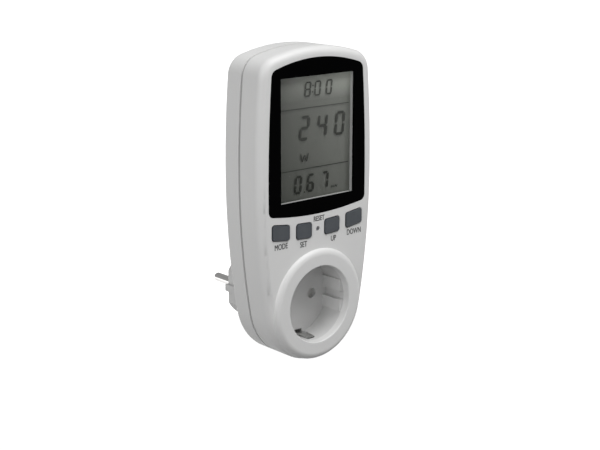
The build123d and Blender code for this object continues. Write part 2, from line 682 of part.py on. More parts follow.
def shutter():
    turn = math.radians(SHUTTER_TURN)
    plate = Circle(SHUTTER_RADIUS) - rect(-SHUTTER_RADIUS, SHUTTER_RADIUS, -SHUTTER_RADIUS, -SHUTTER_FLAT)
    plate -= Circle(SHUTTER_PIVOT_RADIUS + SHUTTER_PIVOT_GAP)
    for side in (-1, 1):
        x = side * PIN_PLACE * math.cos(turn)
        z = side * PIN_PLACE * math.sin(turn)
        plate -= disc(x, z, SHUTTER_HOLE_RADIUS)
    lug = rect(-SHUTTER_LUG_WIDTH / 2, SHUTTER_LUG_WIDTH / 2, -SHUTTER_LUG_REACH, -SHUTTER_FLAT)
    return slab(plate + lug, SHUTTER_FRONT, SHUTTER_BACK)


def shutter_spring():
    """A fine coil between the insert's rib and the shutter's lug, along X."""
    end_space = SPRING_WIRE_RADIUS + SPRING_END_GAP
    length = -SHUTTER_LUG_WIDTH / 2 - SPRING_END - 2 * end_space
    start = (SPRING_END + end_space, (SHUTTER_FRONT + SHUTTER_BACK) / 2, SPRING_HEIGHT)
    path = Helix(length / SPRING_TURNS, length, SPRING_COIL_RADIUS, center=start, direction=(1, 0, 0))
    wire = Plane(origin=path @ 0, z_dir=path % 0) * Circle(SPRING_WIRE_RADIUS)
    return sweep(wire, path, is_frenet=True)


def earth_profile(points, half_width):
    """A bent strip: a path of (depth, height) points given the strip's thickness."""
    return extrude(Plane.YZ * trace(Polyline(*points), STRIP), half_width, both=True)


def socket_earth_clip():
    bridge = CARRIER_BACK + STRIP / 2
    contact_depth = (SOCKET_EARTH_TIP + RECESS_FLOOR) / 2
    upper = [
        (SOCKET_EARTH_TIP, SOCKET_EARTH_PLACE),
        (contact_depth, SOCKET_EARTH_CONTACT + STRIP / 2),
        (RECESS_FLOOR, SOCKET_EARTH_PLACE),
        (bridge, SOCKET_EARTH_PLACE),
    ]
    lower = [(depth, -height) for depth, height in reversed(upper)]
    return earth_profile(upper + lower, EARTH_STRIP_WIDTH / 2)


def socket_contact(x):
    """Two spring leaves above and below a pin, joined at the side away from the middle."""
    outward = 1 if x > 0 else -1
    inner = x - outward * CONTACT_HALF_WIDTH
    bridge = x + outward * CONTACT_HALF_WIDTH
    outer = bridge + outward * STRIP
    low, high = sorted([inner, outer])
    bridge_low, bridge_high = sorted([bridge, outer])
    top = LEAF_INNER + STRIP
    front = CONTACT_FRONT + LEAF_FREE_END
    back = CONTACT_BACK - LEAF_FREE_END
    contact = block(bridge_low, bridge_high, front, back, -top, top)
    contact += block(low, high, CONTACT_FRONT, CONTACT_BACK, LEAF_INNER, top)
    contact += block(low, high, CONTACT_FRONT, CONTACT_BACK, -top, -LEAF_INNER)
    return contact


# ---- plug ----


def plug_base():
    base = slab(plug_outline(), PLUG_FLANGE_FRONT, PLUG_FACE)
    base = fillet(edges_at_depth(base, PLUG_FACE), PLUG_EDGE_ROUND)
    base += rod(0, 0, PLUG_FLANGE_RADIUS, PLUG_FLANGE_FRONT, BACK_WALL_FRONT)
    half_width = PLUG_SIDE_FLAT - PLUG_WALL
    hollow = Circle(PLUG_RADIUS - PLUG_WALL - PLUG_INNER_STEP)
    hollow &= rect(-half_width, half_width, -PLUG_RADIUS, PLUG_RADIUS)
    base -= slab(hollow, PLUG_FLANGE_FRONT, PLUG_FACE - PLUG_END_WALL)
    for x in (-PIN_PLACE, PIN_PLACE):
        base += rod(x, 0, PIN_BOSS_RADIUS, PLUG_FACE - PIN_BOSS_DEPTH, PLUG_FACE - PLUG_END_WALL)
        base -= rod(x, 0, PIN_SHANK_RADIUS, PLUG_FACE - PIN_BOSS_DEPTH, PLUG_FACE)
        base -= rod(x, 0, PIN_MOAT_RADIUS, PLUG_FACE - PIN_MOAT_DEPTH, PLUG_FACE)
    slot = EARTH_STRIP_WIDTH / 2 + EARTH_SLOT_GAP
    slot_floor = PLUG_EARTH_PLACE - STRIP / 2
    outside = PLUG_RADIUS + BEYOND
    bridge_front = PLUG_EARTH_BRIDGE - STRIP / 2
    opening_back = PLUG_EARTH_BRIDGE + STRIP / 2 + PLUG_HOLE_GAP
    opening_start = PLUG_RADIUS - PLUG_WALL - PLUG_SLOT_REACH
    head_back = PLUG_FLANGE_FRONT + SMALL_HEAD_HEIGHT + PLUG_HOLE_GAP
    for side in (-1, 1):
        low, high = sorted([side * slot_floor, side * outside])
        base -= block(-slot, slot, bridge_front, PLUG_EARTH_TIP + EARTH_END_GAP, low, high)
        low, high = sorted([side * opening_start, side * outside])
        base -= block(-slot, slot, bridge_front, opening_back, low, high)
        low, high = sorted([side * PLUG_NOTCH_START, side * (PLUG_FLANGE_RADIUS + BEYOND)])
        base -= block(-slot, slot, PLUG_FLANGE_FRONT, BACK_WALL_FRONT, low, high)
        low, high = sorted([side * STRAP_NOTCH_INNER, side * STRAP_NOTCH_OUTER])
        notch = rect(low, high, STRAP_NOTCH_HEIGHT, PLUG_FLANGE_RADIUS + BEYOND)
        base -= slab(notch, PLUG_FLANGE_FRONT, BACK_WALL_FRONT)
        place = side * CARRIER_SCREW_PLACE
        base -= rod(place, place, SMALL_HEAD_RADIUS + PLUG_SCREW_GAP, PLUG_FLANGE_FRONT, head_back)
    return base


def plug_pin(x):
    pin = rod(x, 0, PIN_RADIUS, PLUG_FACE, PLUG_FACE + PIN_LENGTH)
    pin = fillet(edges_at_depth(pin, PLUG_FACE + PIN_LENGTH), PIN_TIP_ROUND)
    pin += rod(x, 0, PIN_SHANK_RADIUS, PLUG_FACE - PIN_BOSS_DEPTH, PLUG_FACE)
    pin += rod(x, 0, PIN_STUD_RADIUS, PIN_STUD_END, PLUG_FACE - PIN_BOSS_DEPTH)
    pin += rod(x, 0, RIVET_RADIUS, PIN_STUD_END, PLUG_FACE - PIN_BOSS_DEPTH - STRIP)
    return pin


def plug_earth_strip():
    upper = [(PLUG_EARTH_TIP, PLUG_EARTH_PLACE), (PLUG_EARTH_BRIDGE, PLUG_EARTH_PLACE)]
    lower = [(depth, -height) for depth, height in reversed(upper)]
    return earth_profile(upper + lower, EARTH_STRIP_WIDTH / 2)


def earth_post():
    return rod(0, 0, EARTH_POST_RADIUS, CARRIER_BACK + STRIP, PLUG_EARTH_BRIDGE - STRIP / 2)


# ---- current path ----


def board_strap(x_low, x_high, start_back, start_height):
    """A strip that rises from start_height, runs forward, then climbs to the power board."""
    start_front = start_back - STRIP
    run_top = STRAP_RUN_HEIGHT + STRIP
    strap = block(x_low, x_high, start_front, start_back, start_height, run_top)
    strap += block(x_low, x_high, POWER_BOARD_REAR, start_back, STRAP_RUN_HEIGHT, run_top)
    strap += block(x_low, x_high, POWER_BOARD_REAR, POWER_BOARD_REAR + STRIP, STRAP_RUN_HEIGHT, STRAP_TOP)
    return strap


def stud_plate(x):
    back = PLUG_FACE - PIN_BOSS_DEPTH
    half = STUD_PLATE_HALF
    plate = block(x - half, x + half, back - STRIP, back, -half, half)
    return plate - rod(x, 0, PIN_STUD_RADIUS + STUD_HOLE_GAP, back - STRIP, back)


def line_in_strap():
    back = PLUG_FACE - PIN_BOSS_DEPTH
    x_low = -PIN_PLACE - STUD_PLATE_HALF
    return stud_plate(-PIN_PLACE) + board_strap(x_low, x_low + STRAP_WIDTH, back, STUD_PLATE_HALF)


def line_out_strap():
    x_high = -PIN_PLACE + STUD_PLATE_HALF
    return board_strap(x_high - STRAP_WIDTH, x_high, CONTACT_BACK, LEAF_INNER + STRIP)


def neutral_link():
    """Joins the neutral pin to the neutral contact, with a branch to the power board."""
    back = PLUG_FACE - PIN_BOSS_DEPTH
    x_low = PIN_PLACE - STRAP_WIDTH / 2
    x_high = PIN_PLACE + STRAP_WIDTH / 2
    link = stud_plate(PIN_PLACE) + board_strap(x_low, x_high, back, STUD_PLATE_HALF)
    link += block(x_low, x_high, CONTACT_BACK - STRIP, CONTACT_BACK, LEAF_INNER + STRIP, STRAP_RUN_HEIGHT)
    run_top = STRAP_RUN_HEIGHT + STRIP
    return link + block(x_low, x_high, CONTACT_BACK - STRIP, back, STRAP_RUN_HEIGHT, run_top)


# ---- display ----


def lcd_frame():
    flange = FRAME_LIP + FRAME_FLANGE
    frame = slab(view_outline(FRAME_LIP), LENS_BACK, PANEL_BACK)
    frame += slab(view_outline(flange), PANEL_BACK, DISPLAY_BOARD_FRONT)
    frame -= slab(view_outline(0), LENS_BACK, DISPLAY_BOARD_FRONT)
    frame -= slab(view_outline(GLASS_MARGIN + FRAME_GAP), GLASS_FRONT, DISPLAY_BOARD_FRONT)
    return frame


def lcd_polarizer():
    return slab(view_outline(FILM_MARGIN), GLASS_FRONT, GLASS_FRONT + FILM_THICKNESS)


def lcd_glass():
    front = GLASS_FRONT + FILM_THICKNESS
    return slab(view_outline(GLASS_MARGIN), front, front + GLASS_THICKNESS)


def lcd_reflector():
    front = GLASS_FRONT + FILM_THICKNESS + GLASS_THICKNESS
    return slab(view_outline(-ZEBRA_WIDTH), front, front + FILM_THICKNESS)


def zebra_strips():
    front = GLASS_FRONT + FILM_THICKNESS + GLASS_THICKNESS
    strips = []
    for side in (-1, 1):
        middle = VIEW_CENTRE_HEIGHT + side * (VIEW_HEIGHT / 2 - ZEBRA_WIDTH / 2 + GLASS_MARGIN / 2)
        half = VIEW_WIDTH / 2 - ZEBRA_END_GAP
        low, high = middle - ZEBRA_WIDTH / 2, middle + ZEBRA_WIDTH / 2
        strips.append(block(-half, half, front, DISPLAY_BOARD_FRONT, low, high))
    return group(strips)


def display_board():
    half = DISPLAY_BOARD_HALF_WIDTH
    sheet = rect(-half, half, DISPLAY_BOARD_BOTTOM, DISPLAY_BOARD_TOP)
    for x, z in DISPLAY_POST_PLACES:
        sheet -= disc(x, z, SMALL_SCREW_RADIUS)
    for column in range(HEADER_PINS):
        sheet -= disc(header_pin_place(column), HEADER_HEIGHT, HEADER_PIN_RADIUS)
    return slab(sheet, DISPLAY_BOARD_FRONT, DISPLAY_BOARD_REAR)


def display_screws():
    size = (SMALL_HEAD_RADIUS, SMALL_HEAD_HEIGHT, SMALL_SCREW_RADIUS, BOARD_THICKNESS + DISPLAY_SCREW_BITE)
    return group([screw(x, z, DISPLAY_BOARD_REAR, -1, *size) for x, z in DISPLAY_POST_PLACES])


def controller_blob():
    """The epoxy dome over the controller chip, a spherical cap behind the display board."""
    top = DISPLAY_BOARD_REAR + BLOB_HEIGHT
    ball_radius = (BLOB_RADIUS**2 + BLOB_HEIGHT**2) / (2 * BLOB_HEIGHT)
    half_turn = math.asin(BLOB_RADIUS / ball_radius) / 2
    middle = (ball_radius * math.sin(half_turn), top - ball_radius * (1 - math.cos(half_turn)))
    profile = make_face(
        [
            Line((0, top), (0, DISPLAY_BOARD_REAR)),
            Line((0, DISPLAY_BOARD_REAR), (BLOB_RADIUS, DISPLAY_BOARD_REAR)),
            ThreePointArc((BLOB_RADIUS, DISPLAY_BOARD_REAR), middle, (0, top)),
        ]
    )
    return Pos(BLOB_X, 0, BLOB_Z) * revolve(profile, Axis.Y)


# ---- keys ----


def key_cap(name):
    cap = slab(key_outline(name, 0), BODY_FRONT - KEY_PROUD, PANEL_BACK)
    cap = fillet(edges_at_depth(cap, BODY_FRONT - KEY_PROUD), KEY_EDGE_ROUND)
    return cap + slab(key_outline(name, KEY_FLANGE), PANEL_BACK, KEY_FLANGE_BACK)


def key_centre(name):
    left, right = KEY_SPANS[name]
    middle = (left + right) / 2
    return middle, key_row(middle) - KEY_HEIGHT / 2


def key_dome(name):
    x, z = key_centre(name)
    height = MAT_FRONT - KEY_FLANGE_BACK
    foot = base_circle(x, z, DOME_BASE_RADIUS, MAT_FRONT)
    dome = loft([foot, base_circle(x, z, DOME_TOP_RADIUS, KEY_FLANGE_BACK)])
    return dome - rod(x, z, DOME_TOP_RADIUS - DOME_HOLLOW, KEY_FLANGE_BACK + height / 3, MAT_FRONT)


def base_circle(x, z, radius, depth):
    return Plane.XZ.offset(-depth) * disc(x, z, radius)


def keypad_mat():
    half = DISPLAY_BOARD_HALF_WIDTH
    mat = block(-half, half, MAT_FRONT, DISPLAY_BOARD_FRONT, DISPLAY_BOARD_BOTTOM, MAT_TOP)
    clear = RESET_SWITCH_SIZE / 2 + RESET_MAT_GAP
    low, high = RESET_HEIGHT - clear, RESET_HEIGHT + clear
    return mat - block(-clear, clear, MAT_FRONT, DISPLAY_BOARD_FRONT, low, high)


def reset_switch():
    half = RESET_SWITCH_SIZE / 2
    front = DISPLAY_BOARD_FRONT - RESET_SWITCH_DEPTH
    body = block(-half, half, front, DISPLAY_BOARD_FRONT, RESET_HEIGHT - half, RESET_HEIGHT + half)
    well_depth = RESET_BUTTON_LENGTH - RESET_BUTTON_PROUD + RESET_STROKE + RESET_BUTTON_GAP
    return body - rod(0, RESET_HEIGHT, RESET_BUTTON_RADIUS + RESET_BUTTON_GAP, front, front + well_depth)


def reset_button():
    front = DISPLAY_BOARD_FRONT - RESET_SWITCH_DEPTH - RESET_BUTTON_PROUD
    return rod(0, RESET_HEIGHT, RESET_BUTTON_RADIUS, front, front + RESET_BUTTON_LENGTH)


# ---- power board and what it carries, which stands forward from its front face ----


def header_pin_place(column):
    return HEADER_LEFT + column * HEADER_PITCH


def on_board(x_low, x_high, z_low, z_high, height, lift=0.0):
    back = POWER_BOARD_FRONT - lift
    return block(x_low, x_high, back - height, back, z_low, z_high)


def lead(x, z, height):
    """A wire leg that reaches from the power board's front face up to a part's underside."""
    return rod(x, z, LEAD_RADIUS, POWER_BOARD_FRONT - height, POWER_BOARD_FRONT)


def lying_cylinder(x_low, x_high, z, radius, lift):
    middle = Pos((x_low + x_high) / 2, POWER_BOARD_FRONT - lift - radius, z)
    return middle * Rot(0, 90, 0) * Cylinder(radius, x_high - x_low)


def power_board():
    half = POWER_BOARD_HALF_WIDTH
    board = block(-half, half, POWER_BOARD_FRONT, POWER_BOARD_REAR, POWER_BOARD_BOTTOM, POWER_BOARD_TOP)
    for x, z in POWER_POST_PLACES:
        board -= rod(x, z, SMALL_SCREW_RADIUS, POWER_BOARD_FRONT, POWER_BOARD_REAR)
    return board


def power_screws():
    size = (SMALL_HEAD_RADIUS, SMALL_HEAD_HEIGHT, SMALL_SCREW_RADIUS, SMALL_SCREW_LENGTH)
    return group([screw(x, z, POWER_BOARD_FRONT, 1, *size) for x, z in POWER_POST_PLACES])


def board_header():
    """A row of long pins from the power board through the display board, in one strip."""
    left = header_pin_place(0) - HEADER_PITCH / 2
    right = header_pin_place(HEADER_PINS - 1) + HEADER_PITCH / 2
    half = HEADER_BODY_HEIGHT / 2
    header = on_board(left, right, HEADER_HEIGHT - half, HEADER_HEIGHT + half, HEADER_BODY_DEPTH)
    root = POWER_BOARD_FRONT - HEADER_PIN_ROOT
    for column in range(HEADER_PINS):
        place = header_pin_place(column)
        header += rod(place, HEADER_HEIGHT, HEADER_PIN_RADIUS, DISPLAY_BOARD_FRONT, root)
    return header


def suppression_capacitor():
    x_low, x_high, z_low, z_high = FILM_CAPACITOR_PLACE
    case = on_board(*FILM_CAPACITOR_PLACE, FILM_CAPACITOR_HEIGHT, FILM_CAPACITOR_LIFT)
    case = fillet(case.edges(), FILM_CAPACITOR_ROUND)
    middle = (z_low + z_high) / 2
    for x in (x_low + FILM_CAPACITOR_LEAD_INSET, x_high - FILM_CAPACITOR_LEAD_INSET):
        case += lead(x, middle, 2 * FILM_CAPACITOR_LIFT)
    return case


def smoothing_capacitor():
    top = POWER_BOARD_FRONT - CAN_HEIGHT
    can = rod(CAN_X, CAN_Z, CAN_RADIUS, top, POWER_BOARD_FRONT)
    can = fillet(edges_at_depth(can, top), CAN_ROUND)
    reach, half = CAN_VENT_REACH, CAN_VENT_HALF_WIDTH
    vent = rect(CAN_X - half, CAN_X + half, CAN_Z - reach, CAN_Z + reach)
    vent += rect(CAN_X - reach, CAN_X + reach, CAN_Z - half, CAN_Z + half)
    return can - slab(vent, top, top + CAN_VENT_DEPTH)


def varistor():
    middle = Pos(VARISTOR_X, POWER_BOARD_FRONT - VARISTOR_LIFT - VARISTOR_RADIUS, VARISTOR_Z)
    body = middle * Rot(0, 90, 0) * Cylinder(VARISTOR_RADIUS, VARISTOR_THICKNESS)
    body = fillet(body.edges().filter_by(GeomType.CIRCLE), VARISTOR_ROUND)
    for side in (-1, 1):
        height = VARISTOR_LIFT + VARISTOR_ROUND
        body += lead(VARISTOR_X, VARISTOR_Z + side * VARISTOR_LEAD_PLACE, height)
    return body


def fuse():
    return lying_cylinder(-FUSE_HALF_LENGTH, FUSE_HALF_LENGTH, FUSE_Z, FUSE_RADIUS, FUSE_LIFT)


def fuse_clips():
    clips = []
    for place in (-CLIP_PLACE, CLIP_PLACE):
        x_low, x_high = place - CLIP_HALF_LENGTH, place + CLIP_HALF_LENGTH
        clip = on_board(x_low, x_high, FUSE_Z - CLIP_OUTER_HALF, FUSE_Z + CLIP_OUTER_HALF, CLIP_HEIGHT)
        mouth = (FUSE_Z - CLIP_INNER_HALF, FUSE_Z + CLIP_INNER_HALF)
        clips.append(clip - on_board(x_low, x_high, *mouth, CLIP_HEIGHT - CLIP_FLOOR, CLIP_FLOOR))
    return group(clips)


def shunt():
    """The measuring strap between the two line straps' feet: a low arch of alloy strip."""
    x_low, x_high, z_low, z_high = SHUNT_PLACE
    inside = (x_low + SHUNT_STRIP, x_high - SHUNT_STRIP, z_low, z_high)
    return on_board(*SHUNT_PLACE, SHUNT_HEIGHT) - on_board(*inside, SHUNT_HEIGHT - SHUNT_STRIP)


def chip(x, z, width, height, legs):
    """A gull-wing chip with a row of legs above and below it."""
    half_width, half_height = width / 2, height / 2
    edges = (x - half_width, x + half_width, z - half_height, z + half_height)
    body = on_board(*edges, CHIP_HEIGHT, CHIP_LIFT)
    pitch = width / legs
    reach = half_height + CHIP_LEG_REACH
    for column in range(legs):
        middle = x - half_width + pitch * (column + 0.5)
        leg = (middle - CHIP_LEG_HALF_WIDTH, middle + CHIP_LEG_HALF_WIDTH, z - reach, z + reach)
        body += on_board(*leg, CHIP_LEG_HEIGHT)
    return body


def metering_chip():
    return chip(*METERING_CHIP)


def memory_chip():
    return chip(*MEMORY_CHIP)


def crystal():
    can = on_board(*CRYSTAL_PLACE, CRYSTAL_HEIGHT)
    return fillet(can.edges().filter_by(Axis.Y), CRYSTAL_ROUND)


def backup_battery():
    """Button cells welded in a stack, lying across the board."""
    battery = lying_cylinder(CELL_LEFT, CELL_LEFT + CELL_LENGTH, CELL_Z, CELL_RADIUS, CELL_LIFT)
    link_lift = CELL_LIFT + CELL_RADIUS - CELL_LINK_RADIUS
    for index in range(1, CELL_COUNT):
        left = CELL_LEFT + index * (CELL_LENGTH + CELL_GAP)
        battery += lying_cylinder(left, left + CELL_LENGTH, CELL_Z, CELL_RADIUS, CELL_LIFT)
        battery += lying_cylinder(left - CELL_GAP, left, CELL_Z, CELL_LINK_RADIUS, link_lift)
    return battery


def wired(body, x_low, x_high, z, centre_height):
    """A lying body with a wire through it, from x_low to x_high, and a leg near each end."""
    wire = lying_cylinder(x_low, x_high, z, WIRE_RADIUS, centre_height - WIRE_RADIUS)
    legs = lead(x_low + WIRE_BEND, z, centre_height) + lead(x_high - WIRE_BEND, z, centre_height)
    return body + wire + legs


def dropper_resistor():
    x_low, x_high = RESISTOR_PLACE
    body = lying_cylinder(x_low, x_high, RESISTOR_Z, RESISTOR_RADIUS, RESISTOR_LIFT)
    body = fillet(body.edges().filter_by(GeomType.CIRCLE), RESISTOR_ROUND)
    centre_height = RESISTOR_LIFT + RESISTOR_RADIUS
    return wired(body, x_low - RESISTOR_WIRE, x_high + RESISTOR_WIRE, RESISTOR_Z, centre_height)


def diodes():
    bodies = []
    centre_height = DIODE_LIFT + DIODE_RADIUS
    for x in DIODE_LEFTS:
        body = lying_cylinder(x, x + DIODE_LENGTH, DIODE_Z, DIODE_RADIUS, DIODE_LIFT)
        bodies.append(wired(body, x - DIODE_WIRE, x + DIODE_LENGTH + DIODE_WIRE, DIODE_Z, centre_height))
    return group(bodies)


def chip_resistors():
    pieces = []
    half_x, half_z = CHIP_RESISTOR_HALF
    for row in range(CHIP_RESISTOR_COUNT[1]):
        for column in range(CHIP_RESISTOR_COUNT[0]):
            x = CHIP_RESISTOR_START[0] + CHIP_RESISTOR_STEP[0] * column
            z = CHIP_RESISTOR_START[1] + CHIP_RESISTOR_STEP[1] * row
            pieces.append(on_board(x - half_x, x + half_x, z - half_z, z + half_z, CHIP_RESISTOR_HEIGHT))
    return group(pieces)


PIECES = {
    "front_shell": front_shell,
    "rear_shell": rear_shell,
    "window_lens": window_lens,
    "rating_label": rating_label,
    "housing_screws": housing_screws,
    "socket_insert": socket_insert,
    "socket_floor": socket_floor,
    "insert_screws": insert_screws,
    "contact_carrier": contact_carrier,
    "carrier_screws": carrier_screws,
    "shutter": shutter,
    "shutter_spring": shutter_spring,
    "line_contact": lambda: socket_contact(-PIN_PLACE),
    "neutral_contact": lambda: socket_contact(PIN_PLACE),
    "socket_earth_clip": socket_earth_clip,
    "plug_base": plug_base,
    "plug_pin_left": lambda: plug_pin(-PIN_PLACE),
    "plug_pin_right": lambda: plug_pin(PIN_PLACE),
    "plug_earth_strip": plug_earth_strip,
    "earth_post": earth_post,
    "line_in_strap": line_in_strap,
    "line_out_strap": line_out_strap,
    "neutral_link": neutral_link,
    "lcd_frame": lcd_frame,
    "lcd_polarizer": lcd_polarizer,
    "lcd_glass": lcd_glass,
    "lcd_reflector": lcd_reflector,
    "zebra_strips": zebra_strips,
    "display_board": display_board,
    "display_screws": display_screws,
    "controller_blob": controller_blob,
    "keypad_mat": keypad_mat,
    "reset_switch": reset_switch,
    "reset_button": reset_button,
    "power_board": power_board,
    "power_screws": power_screws,
    "board_header": board_header,
    "suppression_capacitor": suppression_capacitor,
    "smoothing_capacitor": smoothing_capacitor,
    "varistor": varistor,
    "fuse": fuse,
    "fuse_clips": fuse_clips,
    "shunt": shunt,
    "metering_chip": metering_chip,
    "memory_chip": memory_chip,
    "crystal": crystal,
    "backup_battery": backup_battery,
    "dropper_resistor": dropper_resistor,
    "diodes": diodes,
    "chip_resistors": chip_resistors,
}


def main():
    os.makedirs("parts", exist_ok=True)
    for node, make in PIECES.items():
        export_step(make(), f"parts/{node}.step")
    for name in KEY_SPANS:
        export_step(key_cap(name), f"parts/key_{name}.step")
        export_step(key_dome(name), f"parts/key_dome_{name}.step")


main()
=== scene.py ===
"""Looks of a plug-in power meter: finishes for every part, printed marks, display figures and a studio."""

import math

import bpy
import numpy as np
from bpy.props import FloatProperty, FloatVectorProperty, PointerProperty, StringProperty
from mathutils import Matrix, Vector


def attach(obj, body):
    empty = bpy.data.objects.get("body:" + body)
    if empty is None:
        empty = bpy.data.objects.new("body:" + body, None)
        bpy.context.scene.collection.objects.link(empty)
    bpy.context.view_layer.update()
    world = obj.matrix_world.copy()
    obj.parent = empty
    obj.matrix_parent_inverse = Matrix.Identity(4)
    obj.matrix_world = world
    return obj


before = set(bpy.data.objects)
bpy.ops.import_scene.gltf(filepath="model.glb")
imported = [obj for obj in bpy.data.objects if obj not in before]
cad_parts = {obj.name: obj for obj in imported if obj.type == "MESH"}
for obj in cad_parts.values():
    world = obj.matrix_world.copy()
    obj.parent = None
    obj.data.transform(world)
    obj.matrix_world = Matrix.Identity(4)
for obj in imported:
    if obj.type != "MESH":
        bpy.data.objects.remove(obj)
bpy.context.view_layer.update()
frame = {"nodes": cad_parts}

bl_info = {
    "name": "Plug-in power meter",
    "version": (1, 0, 0),
    "blender": (4, 2, 0),
    "location": "View3D > Sidebar > Meter",
    "description": "Finishes, printed marks and studio for a plug-in power meter",
    "category": "Object",
}

MM = 0.001
ROOT_BODY = "housing"
PANEL = -53.3 * MM  # the flat front of the shell
BACK = -26.0 * MM  # the flat back of the shell
GLASS_FACE = -50.3 * MM  # front of the display's polarizer
PRINT = 0.02 * MM  # thickness of a printed mark

# The groove where the shells meet.
SEAM = -39.0 * MM
SEAM_WIDTH = 1.4 * MM
# How far the painted shade in the groove takes its colour towards a quarter of the housing's.
SEAM_PAINTED_SHADE = 0.6

# Sockets of a Mix node that mixes colours.
COLOUR_A = 6
COLOUR_B = 7
COLOUR_OUT = 2

# The clear part of the window.
CLEAR_HALF_WIDTH = 23.95 * MM
CLEAR_HALF_HEIGHT = 30.55 * MM
CLEAR_MIDDLE = 85.3 * MM
CLEARNESS = 0.94
WINDOW_REFLECTION = 0.004

# The display's face, for the light painted on it.
DISPLAY_BOTTOM = 56 * MM
DISPLAY_TOP = 113 * MM
DISPLAY_PAINTED_LIGHT_FROM = 103 * MM
DISPLAY_HALF_WIDTH = 22 * MM


# ---- shader sums ----


class Value:
    """A socket of a shader; sums on it add Math nodes."""

    def __init__(self, paint, socket):
        self.paint = paint
        self.socket = socket

    def math(self, operation, *others):
        return self.paint.node("ShaderNodeMath", {"operation": operation}, dict(enumerate((self, *others))))

    def __add__(self, other):
        return self.math("ADD", other)

    __radd__ = __add__

    def __sub__(self, other):
        return self.math("SUBTRACT", other)

    def __rsub__(self, other):
        return self.math("MULTIPLY", -1.0) + other

    def __mul__(self, other):
        return self.math("MULTIPLY", other)

    __rmul__ = __mul__

    def __gt__(self, other):
        return self.math("GREATER_THAN", other)

    def __lt__(self, other):
        return self.math("LESS_THAN", other)

    def __abs__(self):
        return self.math("ABSOLUTE")

    def wave(self, turns_per_metre):
        """A sine of the value, from -1 to 1."""
        return (self * (2 * math.pi * turns_per_metre)).math("SINE")

    def between(self, low, high):
        """1 where the value lies between low and high, else 0."""
        return (self > low) * (self < high)

    def spread(self, low, high, to_low=0.0, to_high=1.0):
        """The value mapped from low..high to to_low..to_high, and held at the ends."""
        names = {"Value": self, "From Min": low, "From Max": high, "To Min": to_low, "To Max": to_high}
        return self.paint.node("ShaderNodeMapRange", {"clamp": True}, names)


class Paint:
    """A material on Object coordinates with one Principled shader."""

    def __init__(self, name, colour, roughness, metallic=0.0, **constants):
        self.material = bpy.data.materials.new(name)
        self.material.use_nodes = True
        self.tree = self.material.node_tree
        self.tree.nodes.clear()
        self.shader = self.tree.nodes.new("ShaderNodeBsdfPrincipled")
        output = self.tree.nodes.new("ShaderNodeOutputMaterial")
        self.tree.links.new(self.shader.outputs[0], output.inputs[0])
        self.place = self.node("ShaderNodeTexCoord", {}, {}, "Object")
        self.set("Base Color", (*colour, 1.0))
        self.set("Roughness", roughness)
        self.set("Metallic", metallic)
        for socket, value in constants.items():
            self.set(socket.replace("_", " "), value)

    def node(self, kind, settings, inputs, output=0):
        """Any node: its type, its settings, the values or links of its sockets, and the output to use."""
        node = self.tree.nodes.new(kind)
        for key, value in settings.items():
            setattr(node, key, value)
        for key, value in inputs.items():
            self.feed(node.inputs[key], value)
        return Value(self, node.outputs[output])

    def feed(self, socket, value):
        if isinstance(value, Value):
            self.tree.links.new(value.socket, socket)
        else:
            socket.default_value = value

    def set(self, socket, value):
        self.feed(self.shader.inputs[socket], value)

    def axis(self, letter):
        """The X, Y or Z coordinate of the surface, in metres."""
        return self.node("ShaderNodeSeparateXYZ", {}, {0: self.place}, letter)

    def stretched(self, x, y, z):
        """Object coordinates scaled differently along each axis, for drawn or turned marks."""
        return self.node("ShaderNodeMapping", {}, {"Vector": self.place, "Scale": (x, y, z)})

    def noise(self, size, detail=2.0, vector=None, roughness=0.5):
        """Soft noise from 0 to 1 with features of the given size in metres."""
        inputs = {"Vector": vector or self.place, "Scale": 1.0 / size}
        inputs.update({"Detail": detail, "Roughness": roughness})
        return self.node("ShaderNodeTexNoise", {}, inputs)

    def cells(self, size, vector=None):
        """Distance to the nearest of scattered points, about 0 to 1 over one cell."""
        return self.node("ShaderNodeTexVoronoi", {}, {"Vector": vector or self.place, "Scale": 1.0 / size})

    def mix(self, factor, first, second):
        """A colour between two colours."""
        inputs = {"Factor": factor, COLOUR_A: self.colour(first), COLOUR_B: self.colour(second)}
        return self.node("ShaderNodeMix", {"data_type": "RGBA"}, inputs, COLOUR_OUT)

    @staticmethod
    def colour(value):
        return value if isinstance(value, Value) else (*value, 1.0)

    def bump(self, height, distance, strength=1.0):
        """A Bump node on the shader's normal; distance is the real height of a full step."""
        inputs = {"Height": height, "Distance": distance, "Strength": strength}
        self.set("Normal", self.node("ShaderNodeBump", {}, inputs))


def shade(colour, factor):
    return tuple(min(1.0, part * factor) for part in colour)


# ---- finishes, one for each material slot of the part ----


def moulded(name, colour, roughness=0.42, grain=0.00022, depth=0.000012):
    """Spark-textured moulded plastic: a fine pitted skin, slow changes of gloss and faint flow clouds."""
    paint = Paint(name, colour, roughness)
    clouds = paint.noise(0.018, 3.0)
    specks = paint.noise(0.0007, 2.0)
    cover = clouds.spread(0.35, 0.65) * 0.55 + specks * 0.35
    paint.base = paint.mix(cover, shade(colour, 0.975), shade(colour, 1.012))
    paint.set("Base Color", paint.base)
    skin = paint.noise(grain, 3.0, roughness=0.6)
    paint.set("Roughness", clouds.spread(0.3, 0.7, roughness - 0.04, roughness + 0.05) + skin * 0.06)
    pits = paint.cells(grain * 1.6)
    paint.bump(skin + pits * 0.4, depth)
    return paint


